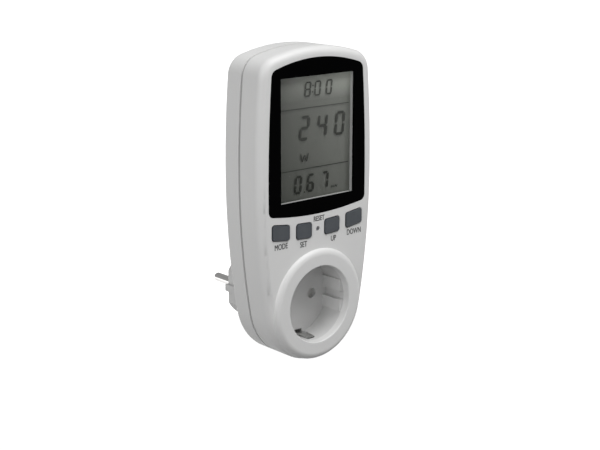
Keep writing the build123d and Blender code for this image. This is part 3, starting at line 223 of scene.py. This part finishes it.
def brushed(name, colour, roughness=0.28, stretch=(1.0, 1.0, 12.0), stain=0.25, stain_colour=None):
    """Rolled or drawn metal: fine parallel scratches and a slight uneven tarnish."""
    paint = Paint(name, colour, roughness, 1.0)
    lines = paint.noise(0.0006, 3.0, paint.stretched(*stretch))
    film = paint.noise(0.004, 3.0)
    dark = stain_colour or shade(colour, 0.72)
    paint.set("Base Color", paint.mix(film.spread(0.42, 0.75) * stain + lines * 0.15, colour, dark))
    paint.set("Roughness", lines.spread(0.3, 0.7, roughness - 0.06, roughness + 0.1) + film * 0.06)
    paint.bump(lines, 0.000004)
    return paint


def shell_plastic(colours):
    """The shells' moulded plastic, with painted shade darkening the groove between them."""
    paint = moulded("shell_plastic", colours.housing)
    seam_shade = paint.axis("Y").between(SEAM, SEAM + SEAM_WIDTH)
    # Painted shade in the groove where the shells meet.
    paint.set("Base Color", paint.mix(seam_shade * SEAM_PAINTED_SHADE, paint.base, shade(colours.housing, 0.25)))
    return paint


# The shells' plastic made darker as painted shade, for the plug's base that sits in shade behind the body;
# the socket's cup gets it too.
def shaded_socket_plastic(colours):
    return moulded("shaded_socket_plastic", shade(colours.housing, 0.86), 0.36, 0.00018, 0.000008)


def inner_plastic(colours):
    return moulded("inner_plastic", (0.62, 0.62, 0.60), 0.5, 0.0003, 0.00001)


def window_film(colours):
    """Dark lens: clear over the display, and printed black behind everywhere else."""
    paint = Paint("window_lens", colours.window, 0.07, Specular_IOR_Level=WINDOW_REFLECTION)
    across = CLEAR_HALF_WIDTH - abs(paint.axis("X"))
    up = CLEAR_HALF_HEIGHT - abs(paint.axis("Z") - CLEAR_MIDDLE)
    clear = (across > 0.0) * (up > 0.0)
    smears = paint.noise(0.009, 2.0)
    paint.set("Roughness", smears.spread(0.3, 0.8, 0.05, 0.11))
    paint.set("Base Color", paint.mix(smears, colours.window, shade(colours.window, 1.8)))
    paint.set("Alpha", 1.0 - clear * CLEARNESS)
    return paint


def label_foil(colours):
    """Matt silver label foil with a fine brushed grain."""
    paint = Paint("label_foil", (0.72, 0.73, 0.74), 0.4)
    lines = paint.noise(0.0008, 2.0, paint.stretched(0.08, 1.0, 6.0))
    paint.set("Base Color", paint.mix(lines, (0.66, 0.67, 0.68), (0.78, 0.79, 0.80)))
    paint.set("Roughness", lines.spread(0.3, 0.7, 0.32, 0.46))
    paint.set("Metallic", lines.spread(0.3, 0.7, 0.25, 0.4))
    paint.bump(lines, 0.000003)
    return paint


def screw_steel(colours):
    return brushed("screw_steel", (0.52, 0.52, 0.53), 0.3, (1.0, 6.0, 1.0))


def spring_steel(colours):
    return brushed("spring_steel", (0.45, 0.45, 0.46), 0.25, (6.0, 1.0, 1.0), 0.4)


def pin_plate(colours):
    """Bright nickel plate over a turned pin: fine rings round the pin and a few wipe marks."""
    paint = Paint("pin_plate", colours.pins, 0.12, 1.0)
    depth = paint.axis("Y")
    rings = depth.wave(2600.0) * 0.5 + 0.5
    wipes = paint.noise(0.0012, 3.0, paint.stretched(1.0, 0.12, 1.0))
    mixed = paint.mix(wipes.spread(0.45, 0.8) * 0.5, colours.pins, shade(colours.pins, 0.8))
    paint.set("Base Color", mixed)
    paint.set("Roughness", wipes.spread(0.35, 0.75, 0.05, 0.14))
    paint.bump(rings * 0.4 + wipes * 0.6, 0.000003)
    return paint


def contact_brass(colours):
    return brushed("contact_brass", (0.70, 0.50, 0.22), 0.26, (1.0, 5.0, 1.0), 0.5, (0.42, 0.26, 0.10))


def earth_plate(colours):
    return brushed("earth_plate", (0.66, 0.66, 0.65), 0.24, (5.0, 1.0, 1.0), 0.3)


def display_frame(colours):
    return moulded("display_frame", colours.frame, 0.5, 0.0003, 0.000008)


def lcd_glass(colours):
    """The display's face: a grey-green film with painted reflection, paler towards the top and the right."""
    paint = Paint("lcd_glass", colours.display_low, 0.32, Specular_IOR_Level=0.3)
    height = paint.axis("Z").spread(DISPLAY_BOTTOM, DISPLAY_TOP)
    rightward = paint.axis("X").spread(-DISPLAY_HALF_WIDTH, DISPLAY_HALF_WIDTH)
    top = paint.axis("Z").spread(DISPLAY_PAINTED_LIGHT_FROM, DISPLAY_TOP)
    mottle = paint.noise(0.0005, 2.0)
    graded = paint.mix(height, colours.display_low, colours.display_high)
    # Painted reflection: paler towards the right, more so higher up.
    painted_glare = rightward * (height * 0.65 + 0.39)
    graded = paint.mix(painted_glare, graded, shade(colours.display_high, 1.8))
    # A painted highlight along the top, strongest at the right, against the shade the window's print casts
    # there.
    graded = paint.mix(top * (rightward * 0.75 + 0.19), graded, shade(colours.display_high, 4.3))
    paint.set("Base Color", paint.mix(mottle * 0.12, graded, shade(colours.display_low, 0.8)))
    paint.set("Roughness", mottle.spread(0.3, 0.7, 0.28, 0.38))
    paint.set("Alpha", mottle.spread(0.0, 1.0, 0.93, 0.97))
    return paint


def lcd_back(colours):
    """Reflector foil: satin aluminium with a fine random grain."""
    return brushed("lcd_back", (0.70, 0.71, 0.68), 0.45, (1.0, 1.0, 1.0), 0.15)


def zebra(colours):
    """Rubber connector strip: thin dark conducting layers between pale ones, along X."""
    paint = Paint("zebra_rubber", (0.60, 0.42, 0.42), 0.6)
    layers = paint.axis("X").wave(2000.0) > 0.1
    grain = paint.noise(0.0002, 2.0)
    paint.set("Base Color", paint.mix(layers, (0.60, 0.42, 0.42), (0.03, 0.03, 0.03)))
    paint.set("Roughness", grain.spread(0.2, 0.8, 0.5, 0.7))
    paint.bump(layers + grain * 0.3, 0.00001)
    return paint


def circuit_board(colours):
    """Solder mask with copper tracks showing under it, tinned pads and the woven glass at its edges."""
    paint = Paint("circuit_board", colours.board, 0.3)
    x, z = paint.axis("X"), paint.axis("Z")
    bend = paint.noise(0.012, 0.0).spread(0.45, 0.55)
    straight = (x.wave(520.0) > 0.55) * bend
    across = (z.wave(460.0) > 0.6) * (1.0 - bend)
    pads = paint.cells(0.0042) < 0.16
    weave = x.wave(1600.0) * z.wave(1600.0)
    masked = paint.mix(straight + across, colours.board, shade(colours.board, 1.9))
    masked = paint.mix(paint.noise(0.003, 3.0) * 0.3, masked, shade(colours.board, 0.7))
    paint.set("Base Color", paint.mix(pads, masked, (0.62, 0.62, 0.58)))
    paint.set("Metallic", pads * 0.9)
    paint.set("Roughness", paint.noise(0.002, 2.0).spread(0.3, 0.7, 0.22, 0.36))
    paint.bump(straight + across + pads * 1.5 + weave * 0.15, 0.00002)
    return paint


def black_part(colours):
    """Black moulding compound: matt, finely pitted, slightly uneven."""
    paint = Paint("black_compound", (0.018, 0.018, 0.019), 0.5)
    pits = paint.cells(0.00018)
    clouds = paint.noise(0.0025, 3.0)
    paint.set("Base Color", paint.mix(clouds, (0.014, 0.014, 0.015), (0.026, 0.026, 0.027)))
    paint.set("Roughness", clouds.spread(0.3, 0.7, 0.42, 0.6))
    paint.bump(pits, 0.00001)
    return paint


def key_plastic(colours):
    """Dark blue-grey keys with a fine matt skin, a little polished where fingers press."""
    paint = Paint("key_plastic", colours.keys, 0.5)
    skin = paint.noise(0.0002, 3.0)
    touch = paint.noise(0.004, 1.0)
    mixed = paint.mix(skin * 0.5 + touch * 0.3, shade(colours.keys, 0.9), shade(colours.keys, 1.12))
    paint.set("Base Color", mixed)
    paint.set("Roughness", touch.spread(0.3, 0.7, 0.4, 0.52) + skin * 0.06)
    paint.bump(skin, 0.00001)
    return paint


def silicone(colours):
    """Milky silicone rubber with dust clinging to it."""
    paint = Paint("silicone_rubber", (0.42, 0.43, 0.44), 0.55, Subsurface_Weight=0.2, Subsurface_Scale=0.001)
    dust = paint.noise(0.0006, 4.0)
    paint.set("Base Color", paint.mix(dust.spread(0.5, 0.8), (0.38, 0.39, 0.40), (0.5, 0.5, 0.5)))
    paint.set("Roughness", dust.spread(0.3, 0.7, 0.45, 0.65))
    paint.bump(dust, 0.00001)
    return paint


def reset_plastic(colours):
    return moulded("reset_plastic", (0.10, 0.10, 0.11), 0.45)


def capacitor_film(colours):
    """Yellow flame-proof capacitor box with a dull moulded skin."""
    return moulded("capacitor_box", (0.72, 0.50, 0.06), 0.45, 0.00025, 0.000012)


def varistor_coat(colours):
    """Dipped blue epoxy: glossy with sagging runs and small craters."""
    paint = Paint("varistor_coat", (0.05, 0.15, 0.42), 0.22)
    runs = paint.noise(0.0025, 2.0, paint.stretched(1.0, 1.0, 0.5))
    craters = paint.cells(0.0009)
    paint.set("Base Color", paint.mix(runs, (0.04, 0.12, 0.36), (0.07, 0.19, 0.48)))
    paint.set("Roughness", runs.spread(0.3, 0.7, 0.16, 0.3))
    paint.bump(runs + craters * 0.2, 0.00006)
    return paint


def fuse_glass(colours):
    """Glass tube fuse: clear in the middle with nickel caps at both ends."""
    paint = Paint("fuse_glass", (0.85, 0.88, 0.87), 0.1)
    caps = abs(paint.axis("X")) > 6.3 * MM
    dents = paint.noise(0.001, 2.0)
    paint.set("Base Color", paint.mix(caps, (0.85, 0.88, 0.87), (0.70, 0.70, 0.68)))
    paint.set("Metallic", caps * 1.0)
    paint.set("Roughness", caps * 0.15 + dents * 0.1 + 0.03)
    paint.set("Alpha", caps * 0.68 + 0.32)
    paint.bump(dents * caps, 0.00002)
    return paint


def shunt_alloy(colours):
    return brushed("shunt_alloy", (0.60, 0.42, 0.33), 0.35, (5.0, 1.0, 1.0), 0.5, (0.30, 0.20, 0.16))


def metal_can(colours):
    return brushed("metal_can", (0.68, 0.68, 0.67), 0.2, (4.0, 1.0, 1.0), 0.2)


def coin_cell(colours):
    return brushed("coin_cell", (0.70, 0.70, 0.69), 0.22, (1.0, 3.0, 1.0), 0.25)


def resistor_coat(colours):
    """Beige lacquered body with four colour bands round it; the wire ends are tinned."""
    beige = (0.55, 0.42, 0.26)
    paint = Paint("resistor_coat", beige, 0.35)
    along = paint.axis("X") + 8.0 * MM
    dust = paint.noise(0.0008, 3.0)
    colour = paint.mix(dust * 0.4, beige, shade(beige, 0.8))
    red, black, orange, gold = (0.35, 0.06, 0.03), (0.02, 0.02, 0.02), (0.6, 0.25, 0.02), (0.5, 0.36, 0.08)
    for middle, tone in ((-3.6, red), (-1.8, black), (0.0, orange), (3.4, gold)):
        band = along.between((middle - 0.45) * MM, (middle + 0.45) * MM)
        colour = paint.mix(band, colour, tone)
    wires = abs(along) > 6.2 * MM
    paint.set("Base Color", paint.mix(wires, colour, (0.62, 0.62, 0.60)))
    paint.set("Metallic", wires * 1.0)
    paint.set("Roughness", dust.spread(0.3, 0.7, 0.25, 0.4))
    paint.bump(dust, 0.00002)
    return paint


FINISHES = {
    "shells": {"housing": shell_plastic, "plug_plastic": shaded_socket_plastic, "inner_plastic": inner_plastic},
    "front": {"window": window_film, "key": key_plastic, "label": label_foil},
    "display": {
        "display_frame": display_frame,
        "lcd_glass": lcd_glass,
        "lcd_back": lcd_back,
        "zebra": zebra,
        "silicone": silicone,
        "reset_plastic": reset_plastic,
    },
    "metal": {
        "screw_steel": screw_steel,
        "spring_steel": spring_steel,
        "pin_plate": pin_plate,
        "contact_brass": contact_brass,
        "earth_plate": earth_plate,
        "shunt_alloy": shunt_alloy,
    },
    "electronics": {
        "board": circuit_board,
        "black_part": black_part,
        "capacitor_film": capacitor_film,
        "varistor_coat": varistor_coat,
        "fuse_glass": fuse_glass,
        "can": metal_can,
        "cell": coin_cell,
        "resistor_coat": resistor_coat,
    },
}


# The glb's materials are named after the record's slots.
NODE_SLOTS = {
    name: node.material_slots[0].material.name.split(".")[0] for name, node in frame["nodes"].items()
}


def finish_nodes(group, colours):
    """Gives every node its slot's finish, for the slots of one group."""
    made = {}
    for name, node in frame["nodes"].items():
        for place in node.material_slots:
            slot = NODE_SLOTS[name]
            if slot in FINISHES[group]:
                if slot not in made:
                    made[slot] = FINISHES[group][slot](colours).material
                place.material = made[slot]


# ---- flat marks, as thin prisms ----


def prisms(outlines, front, thickness):
    """Closed prisms from convex outlines of the same number of points.

    outlines is an array (pieces, points, 2) of x and z, turning anticlockwise seen from the front;
    each point goes to y = front and to y = front + thickness, and a wall joins the two.
    """
    outlines = np.asarray(outlines, float)
    pieces, points = outlines.shape[:2]
    depths = np.array([front, front + thickness])
    vertices = np.empty((pieces, 2, points, 3))
    vertices[..., 0] = outlines[:, None, :, 0]
    vertices[..., 1] = depths[None, :, None]
    vertices[..., 2] = outlines[:, None, :, 1]
    first = np.arange(pieces)[:, None] * 2 * points
    ring = np.arange(points)
    near = first + ring
    far = first + points + ring[::-1]
    after = (ring + 1) % points
    walls = np.stack([first + after, first + ring, first + points + ring, first + points + after], -1)
    faces = near.tolist() + far.tolist() + walls.reshape(-1, 4).tolist()
    return vertices.reshape(-1, 3), faces


def mesh_object(name, vertices, faces, material, body=ROOT_BODY):
    mesh = bpy.data.meshes.new(name)
    mesh.from_pydata(np.asarray(vertices).tolist(), [], faces)
    mesh.update()
    mesh.materials.append(material)
    piece = bpy.data.objects.new(name, mesh)
    bpy.context.collection.objects.link(piece)
    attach(piece, body)
    return piece


def bar(start, end, thickness):
    """A segment with pointed ends: a hexagon from start to end, anticlockwise seen from the front."""
    start, end = np.array(start, float), np.array(end, float)
    along = (end - start) / np.linalg.norm(end - start)
    side = np.array([-along[1], along[0]]) * thickness / 2
    step = along * thickness / 2
    return np.array(
        [start, start + step - side, end - step - side, end, end - step + side, start + step + side]
    )


SEGMENTS = {
    "0": "abcdef",
    "2": "abged",
    "4": "fgbc",
    "6": "afgedc",
    "7": "abc",
    "8": "abcdefg",
}


def digit(character, left, bottom, width, height, stroke, lean):
    """The bars of one seven-segment digit; lean moves each point right by that share of its height."""
    gap = stroke * 0.12
    inset = stroke / 2
    low, middle, high = inset, height / 2, height - inset
    near, far = inset, width - inset
    ends = {
        "a": ((near, high), (far, high)),
        "b": ((far, middle), (far, high)),
        "c": ((far, low), (far, middle)),
        "d": ((near, low), (far, low)),
        "e": ((near, low), (near, middle)),
        "f": ((near, middle), (near, high)),
        "g": ((near, middle), (far, middle)),
    }
    bars = []
    for segment in SEGMENTS[character]:
        start, end = (np.array(point) for point in ends[segment])
        along = (end - start) / np.linalg.norm(end - start) * gap
        bars.append(bar(start + along, end - along, stroke))
    bars = np.array(bars)
    bars[..., 0] += bars[..., 1] * lean + left
    bars[..., 1] += bottom
    return bars


def figures(sizes):
    """Every bar of the display's three lines, in millimetres."""
    lean = sizes.lean
    stroke = sizes.large_stroke
    parts = [
        digit("8", -6.9, 105.4, 3.9, 7.3, 0.72, lean),
        digit("0", -0.5, 105.4, 3.9, 7.3, 0.72, lean),
        digit("0", 7.0, 105.4, 3.9, 7.3, 0.72, lean),
        digit("2", -10.4, 84.3, 6.3, 12.0, stroke, lean),
        digit("4", 1.3, 84.3, 6.3, 12.0, stroke, lean),
        digit("0", 12.9, 84.3, 6.3, 12.0, stroke, lean),
        digit("0", -13.6, 57.9, 4.7, 9.2, 1.2, lean),
        digit("6", -5.5, 57.9, 4.7, 9.2, 1.2, lean),
        digit("7", 3.9, 57.9, 4.7, 9.2, 1.2, lean),
    ]
    dots = [
        bar((-2.15, 107.6), (-1.15, 107.6), 0.8),
        bar((-1.85, 110.6), (-0.85, 110.6), 0.8),
        bar((-7.35, 58.4), (-6.25, 58.4), 1.0),
    ]
    letter = [
        bar((-9.3, 77.7), (-8.2, 73.6), 0.5),
        bar((-8.0, 73.6), (-6.9, 76.9), 0.5),
        bar((-6.6, 76.9), (-5.5, 73.6), 0.5),
        bar((-5.3, 73.6), (-4.2, 77.7), 0.5),
    ]
    unit = [
        bar((11.4, 58.0), (11.4, 59.3), 0.3),
        bar((12.5, 58.0), (12.5, 59.3), 0.3),
        bar((11.4, 58.65), (12.5, 58.65), 0.25),
        bar((13.4, 58.0), (14.0, 59.3), 0.3),
        bar((14.0, 59.3), (14.6, 58.0), 0.3),
        bar((14.6, 58.0), (15.2, 59.3), 0.3),
    ]
    return np.concatenate([*parts, np.array(dots + letter + unit)])


def display_ink(colours):
    """Switched-on segments: dark seen low on the display, fainter towards the top as painted reflection."""
    paint = Paint("display_ink", colours.ink_low, 0.5, Specular_IOR_Level=0.1)
    height = paint.axis("Z").spread(DISPLAY_BOTTOM, DISPLAY_TOP)
    mottle = paint.noise(0.0004, 2.0)
    colour = paint.mix(height, colours.ink_low, colours.ink_high)
    paint.set("Base Color", paint.mix(mottle * 0.15, colour, colours.ink_high))
    paint.set("Roughness", mottle.spread(0.3, 0.7, 0.45, 0.6))
    return paint


def panel_ink(colours):
    """Pad-printed grey ink: slightly broken at its edges."""
    paint = Paint("panel_ink", colours.print, 0.45)
    cover = paint.noise(0.0003, 3.0)
    mixed = paint.mix(cover.spread(0.4, 0.9) * 0.5, colours.print, shade(colours.housing, 0.6))
    paint.set("Base Color", mixed)
    paint.set("Roughness", cover.spread(0.3, 0.7, 0.4, 0.55))
    paint.bump(cover, 0.000004)
    return paint


def label_ink(colours):
    """Black thermal print on the label."""
    paint = Paint("label_ink", (0.02, 0.02, 0.022), 0.5)
    cover = paint.noise(0.0003, 3.0)
    paint.set("Base Color", paint.mix(cover * 0.3, (0.02, 0.02, 0.022), (0.08, 0.08, 0.08)))
    paint.set("Roughness", cover.spread(0.3, 0.7, 0.42, 0.6))
    return paint


def word(text, x, z, size, narrow, depth, front, turned=False):
    """A word's mesh, its middle at x and its baseline at z, facing the front, or the back if turned."""
    curve = bpy.data.curves.new("word", "FONT")
    curve.body = text
    curve.size = size
    curve.align_x = "CENTER"
    curve.extrude = depth / 2
    curve.resolution_u = 6
    holder = bpy.data.objects.new("word", curve)
    bpy.context.collection.objects.link(holder)
    bpy.context.view_layer.update()
    mesh = bpy.data.meshes.new_from_object(holder.evaluated_get(bpy.context.evaluated_depsgraph_get()))
    points = np.empty(len(mesh.vertices) * 3)
    mesh.vertices.foreach_get("co", points)
    points = points.reshape(-1, 3)
    sign = -1.0 if turned else 1.0
    placed = np.stack([x + sign * points[:, 0] * narrow, front - sign * points[:, 2], z + points[:, 1]], 1)
    faces = [list(face.vertices) for face in mesh.polygons]
    bpy.data.objects.remove(holder)
    bpy.data.curves.remove(curve)
    bpy.data.meshes.remove(mesh)
    return placed, faces


def joined(parts):
    """Several meshes as one list of vertices and faces."""
    vertices, faces, start = [], [], 0
    for points, part_faces in parts:
        vertices.append(points)
        faces += [[start + corner for corner in face] for face in part_faces]
        start += len(points)
    return np.concatenate(vertices), faces


# ---- sizes and colours a user may change ----


def colour_property(name, description, default):
    return FloatVectorProperty(
        name=name, description=description, default=default, subtype="COLOR", size=3, min=0.0, max=1.0
    )


class MeterColours(bpy.types.PropertyGroup):
    housing: colour_property("Housing", "Colour of the moulded shells", (0.74, 0.74, 0.735))
    window: colour_property("Window print", "Colour printed behind the window", (0.0006, 0.0006, 0.0007))
    keys: colour_property("Keys", "Colour of the four keys", (0.031, 0.038, 0.047))
    pins: colour_property("Pins", "Colour of the plated pins", (0.82, 0.81, 0.80))
    frame: colour_property("Display frame", "Colour of the frame round the display", (0.50, 0.505, 0.50))
    # The display's low and high colours are the ends of its painted reflection: the upper end is paler.
    display_low: colour_property("Display, low", "Colour of the display's lower end", (0.066, 0.072, 0.060))
    display_high: colour_property(
        "Display, high", "Colour of the display's upper end", (0.165, 0.172, 0.156)
    )
    # The figures fade towards their high colour as painted reflection.
    ink_low: colour_property("Figures, low", "Colour of the lowest figures", (0.016, 0.018, 0.014))
    ink_high: colour_property("Figures, high", "Colour of the highest figures", (0.115, 0.12, 0.11))
    board: colour_property("Boards", "Colour of the boards' solder mask", (0.02, 0.11, 0.04))
    print: colour_property("Panel print", "Colour of the words on the front", (0.07, 0.07, 0.074))
    floor: colour_property("Floor", "Colour of the studio floor", (0.92, 0.92, 0.92))
    shade: colour_property(
        "Shade", "Colour of the unseen sheet that darkens the underside", (0.04, 0.04, 0.04)
    )


class MeterSizes(bpy.types.PropertyGroup):
    large_stroke: FloatProperty(
        name="Large stroke",
        description="Width of the large figures' bars, in millimetres",
        default=1.35,
        min=0.2,
    )
    lean: FloatProperty(
        name="Lean", description="Sideways lean of the figures for each unit of height", default=0.1
    )
    figure_rise: FloatProperty(
        name="Figure rise",
        description="Gap between the display's face and its figures",
        default=0.45 * MM,
        unit="LENGTH",
    )
    word_size: FloatProperty(
        name="Word size", description="Height of the key words' type", default=4.0 * MM, unit="LENGTH"
    )
    floor_drop: FloatProperty(
        name="Floor drop",
        description="Height of the object's origin above the floor",
        default=0.32,
        unit="LENGTH",
    )
    key_light: FloatProperty(
        name="Key light", description="Power of the overhead light", default=13.2, unit="POWER"
    )
    fill_light: FloatProperty(
        name="Fill light", description="Power of the side light", default=5.2, unit="POWER"
    )
    sky: FloatProperty(
        name="Surround", description="Strength of the even light from all sides", default=0.315
    )


# ---- operators ----


class METER_OT_finish(bpy.types.Operator):
    """Give a group of parts their finishes"""

    bl_idname = "meter.finish"
    bl_label = "Finish parts"

    group: StringProperty(name="Group", description="Which group of parts to finish", default="shells")

    def execute(self, context):
        finish_nodes(self.group, context.scene.meter_colours)
        return {"FINISHED"}


class METER_OT_figures(bpy.types.Operator):
    """Build the display's figures and the two lines between its zones"""

    bl_idname = "meter.figures"
    bl_label = "Display figures"

    def execute(self, context):
        colours, sizes = context.scene.meter_colours, context.scene.meter_sizes
        ink = display_ink(colours).material
        front = GLASS_FACE - sizes.figure_rise
        mesh_object("display_figures", *prisms(figures(sizes) * MM, front, 2 * PRINT), ink)
        lines = [bar((-22.6, z), (22.6, z), 0.34) for z in (100.0, 70.0)]
        mesh_object("display_rules", *prisms(np.array(lines) * MM, front, 2 * PRINT), ink)
        return {"FINISHED"}


class METER_OT_key_words(bpy.types.Operator):
    """Print the plain words beside the keys"""

    bl_idname = "meter.key_words"
    bl_label = "Key words"

    WORDS = (
        ("MODE", -24.1, 32.7, 1.0),
        ("SET", -9.6, 31.4, 1.0),
        ("RESET", 0.6, 43.2, 0.92),
        ("UP", 10.4, 31.2, 1.0),
        ("DOWN", 24.6, 32.5, 1.0),
    )
    # Each word is struck four times, a little apart, which thickens its strokes.
    STRIKES = ((-0.08 * MM, 0.0), (0.08 * MM, 0.0), (0.0, -0.06 * MM), (0.0, 0.06 * MM))

    def execute(self, context):
        size = context.scene.meter_sizes.word_size
        ink = panel_ink(context.scene.meter_colours).material
        front = PANEL - PRINT / 2
        parts = [
            word(text, x * MM + across, z * MM + up, size * scale, 0.74, PRINT, front)
            for text, x, z, scale in self.WORDS
            for across, up in self.STRIKES
        ]
        mesh_object("key_words", *joined(parts), ink)
        return {"FINISHED"}


class METER_OT_label_print(bpy.types.Operator):
    """Print plain ratings, a frame and an earth sign on the rear label"""

    bl_idname = "meter.label_print"
    bl_label = "Label print"

    LINES = (("230 V   50 Hz", 90.0, 5.0), ("MAX 16 A", 81.5, 5.0), ("0 - 3680 W", 73.0, 4.4))

    def execute(self, context):
        ink = label_ink(context.scene.meter_colours).material
        front = BACK + PRINT / 2
        parts = [word(text, 0.0, z * MM, size * MM, 0.85, PRINT, front, True) for text, z, size in self.LINES]
        rules = [bar((-19.5, z), (19.5, z), 0.35) for z in (101.0, 68.0, 51.0)]
        rules += [bar((x, 51.0), (x, 101.0), 0.35) for x in (-19.5, 19.5)]
        earth = [bar((0, 58.6), (0, 64.0), 0.5)]
        earth += [bar((-half, z), (half, z), 0.5) for half, z in ((3.2, 58.6), (2.1, 57.2), (1.0, 55.8))]
        parts.append(prisms(np.array(rules + earth) * MM, BACK, PRINT))
        mesh_object("label_print", *joined(parts), ink)
        return {"FINISHED"}


def plane(name, half, height, material):
    """A flat square at one height: x and y run over a two by two grid of corners."""
    x, y = (part.ravel() for part in np.meshgrid([-half, half], [-half, half]))
    mesh = bpy.data.meshes.new(name)
    mesh.from_pydata(np.stack([x, y, np.full(4, height)], 1).tolist(), [], [[0, 1, 3, 2]])
    mesh.materials.append(material)
    piece = bpy.data.objects.new(name, mesh)
    bpy.context.collection.objects.link(piece)
    return piece


def area_light(name, place, aim, size, power):
    light = bpy.data.lights.new(name, "AREA")
    light.shape = "DISK"
    light.size = size
    light.energy = power
    lamp = bpy.data.objects.new(name, light)
    lamp.location = place
    lamp.rotation_euler = (Vector(aim) - Vector(place)).to_track_quat("-Z", "Y").to_euler()
    bpy.context.collection.objects.link(lamp)
    return lamp


class METER_OT_stage(bpy.types.Operator):
    """Build the floor, the lights, the surround and the camera"""

    bl_idname = "meter.stage"
    bl_label = "Studio"

    CAMERA_PLACE = (-0.39614, -0.49418, 0.19262)
    CAMERA_AIM = (0.63648, 0.73039, -0.24784)
    LENS = 73.67
    FLOOR_HALF = 40.0
    LIT_POINT = (0.0, -0.03, 0.05)
    OVERHEAD_PLACE = (0.32, -0.58, 1.2)
    OVERHEAD_WIDTH = 0.9
    SIDE_PLACE = (-1.1, -0.45, 0.35)
    SIDE_WIDTH = 0.8
    SHADE_HALF = 0.7
    SHADE_LIFT = 0.02

    def execute(self, context):
        colours, sizes = context.scene.meter_colours, context.scene.meter_sizes
        ground = Paint("studio_floor", colours.floor, 0.8)
        clouds = ground.noise(0.6, 2.0)
        ground.set("Base Color", ground.mix(clouds, shade(colours.floor, 0.99), colours.floor))
        ground.set("Emission Color", (1.0, 1.0, 1.0, 1.0))
        ground.set("Emission Strength", 1.0)
        floor = plane("floor", self.FLOOR_HALF, -sizes.floor_drop, ground.material)
        floor.visible_diffuse = False

        below = Paint("studio_shade", colours.shade, 0.9)
        patches = below.noise(0.3, 2.0)
        below.set("Base Color", below.mix(patches, shade(colours.shade, 0.9), colours.shade))
        cover = plane("shade", self.SHADE_HALF, self.SHADE_LIFT - sizes.floor_drop, below.material)
        cover.visible_camera = False
        cover.visible_glossy = False

        aim = self.LIT_POINT
        area_light("overhead_light", self.OVERHEAD_PLACE, aim, self.OVERHEAD_WIDTH, sizes.key_light)
        area_light("side_light", self.SIDE_PLACE, aim, self.SIDE_WIDTH, sizes.fill_light)
        world = bpy.data.worlds.new("surround")
        world.use_nodes = True
        background = world.node_tree.nodes["Background"]
        background.inputs["Color"].default_value = (1.0, 1.0, 1.0, 1.0)
        # White where it is seen directly, and weaker where it only lights the object.
        seen = world.node_tree.nodes.new("ShaderNodeLightPath")
        strength = world.node_tree.nodes.new("ShaderNodeMapRange")
        strength.inputs["To Min"].default_value = sizes.sky
        strength.inputs["To Max"].default_value = 1.0
        world.node_tree.links.new(seen.outputs["Is Camera Ray"], strength.inputs["Value"])
        world.node_tree.links.new(strength.outputs[0], background.inputs["Strength"])
        context.scene.world = world
        context.scene.view_settings.view_transform = "Standard"

        lens = bpy.data.cameras.new("camera")
        lens.lens = self.LENS
        lens.sensor_width = 36.0
        camera = bpy.data.objects.new("camera", lens)
        camera.location = self.CAMERA_PLACE
        camera.rotation_euler = Vector(self.CAMERA_AIM).to_track_quat("-Z", "Y").to_euler()
        bpy.context.collection.objects.link(camera)
        context.scene.camera = camera
        return {"FINISHED"}


class METER_PT_panel(bpy.types.Panel):
    """The meter's colours, sizes and pieces"""

    bl_label = "Power meter"
    bl_idname = "METER_PT_panel"
    bl_space_type = "VIEW_3D"
    bl_region_type = "UI"
    bl_category = "Meter"

    def draw(self, context):
        layout = self.layout
        for group in (context.scene.meter_colours, context.scene.meter_sizes):
            for key in group.__annotations__:
                layout.prop(group, key)
        for name in FINISHES:
            layout.operator("meter.finish", text=f"Finish {name}").group = name
        for name in ("figures", "key_words", "label_print", "stage"):
            layout.operator(f"meter.{name}")


CLASSES = (
    MeterColours,
    MeterSizes,
    METER_OT_finish,
    METER_OT_figures,
    METER_OT_key_words,
    METER_OT_label_print,
    METER_OT_stage,
    METER_PT_panel,
)


def register():
    for item in CLASSES:
        bpy.utils.register_class(item)
    bpy.types.Scene.meter_colours = PointerProperty(type=MeterColours)
    bpy.types.Scene.meter_sizes = PointerProperty(type=MeterSizes)


def unregister():
    del bpy.types.Scene.meter_sizes
    del bpy.types.Scene.meter_colours
    for item in reversed(CLASSES):
        bpy.utils.unregister_class(item)


def main():
    register()
    for group in FINISHES:
        bpy.ops.meter.finish(group=group)
    bpy.ops.meter.figures()
    bpy.ops.meter.key_words()
    bpy.ops.meter.label_print()
    bpy.ops.meter.stage()


if __name__ == "__main__":
    main()
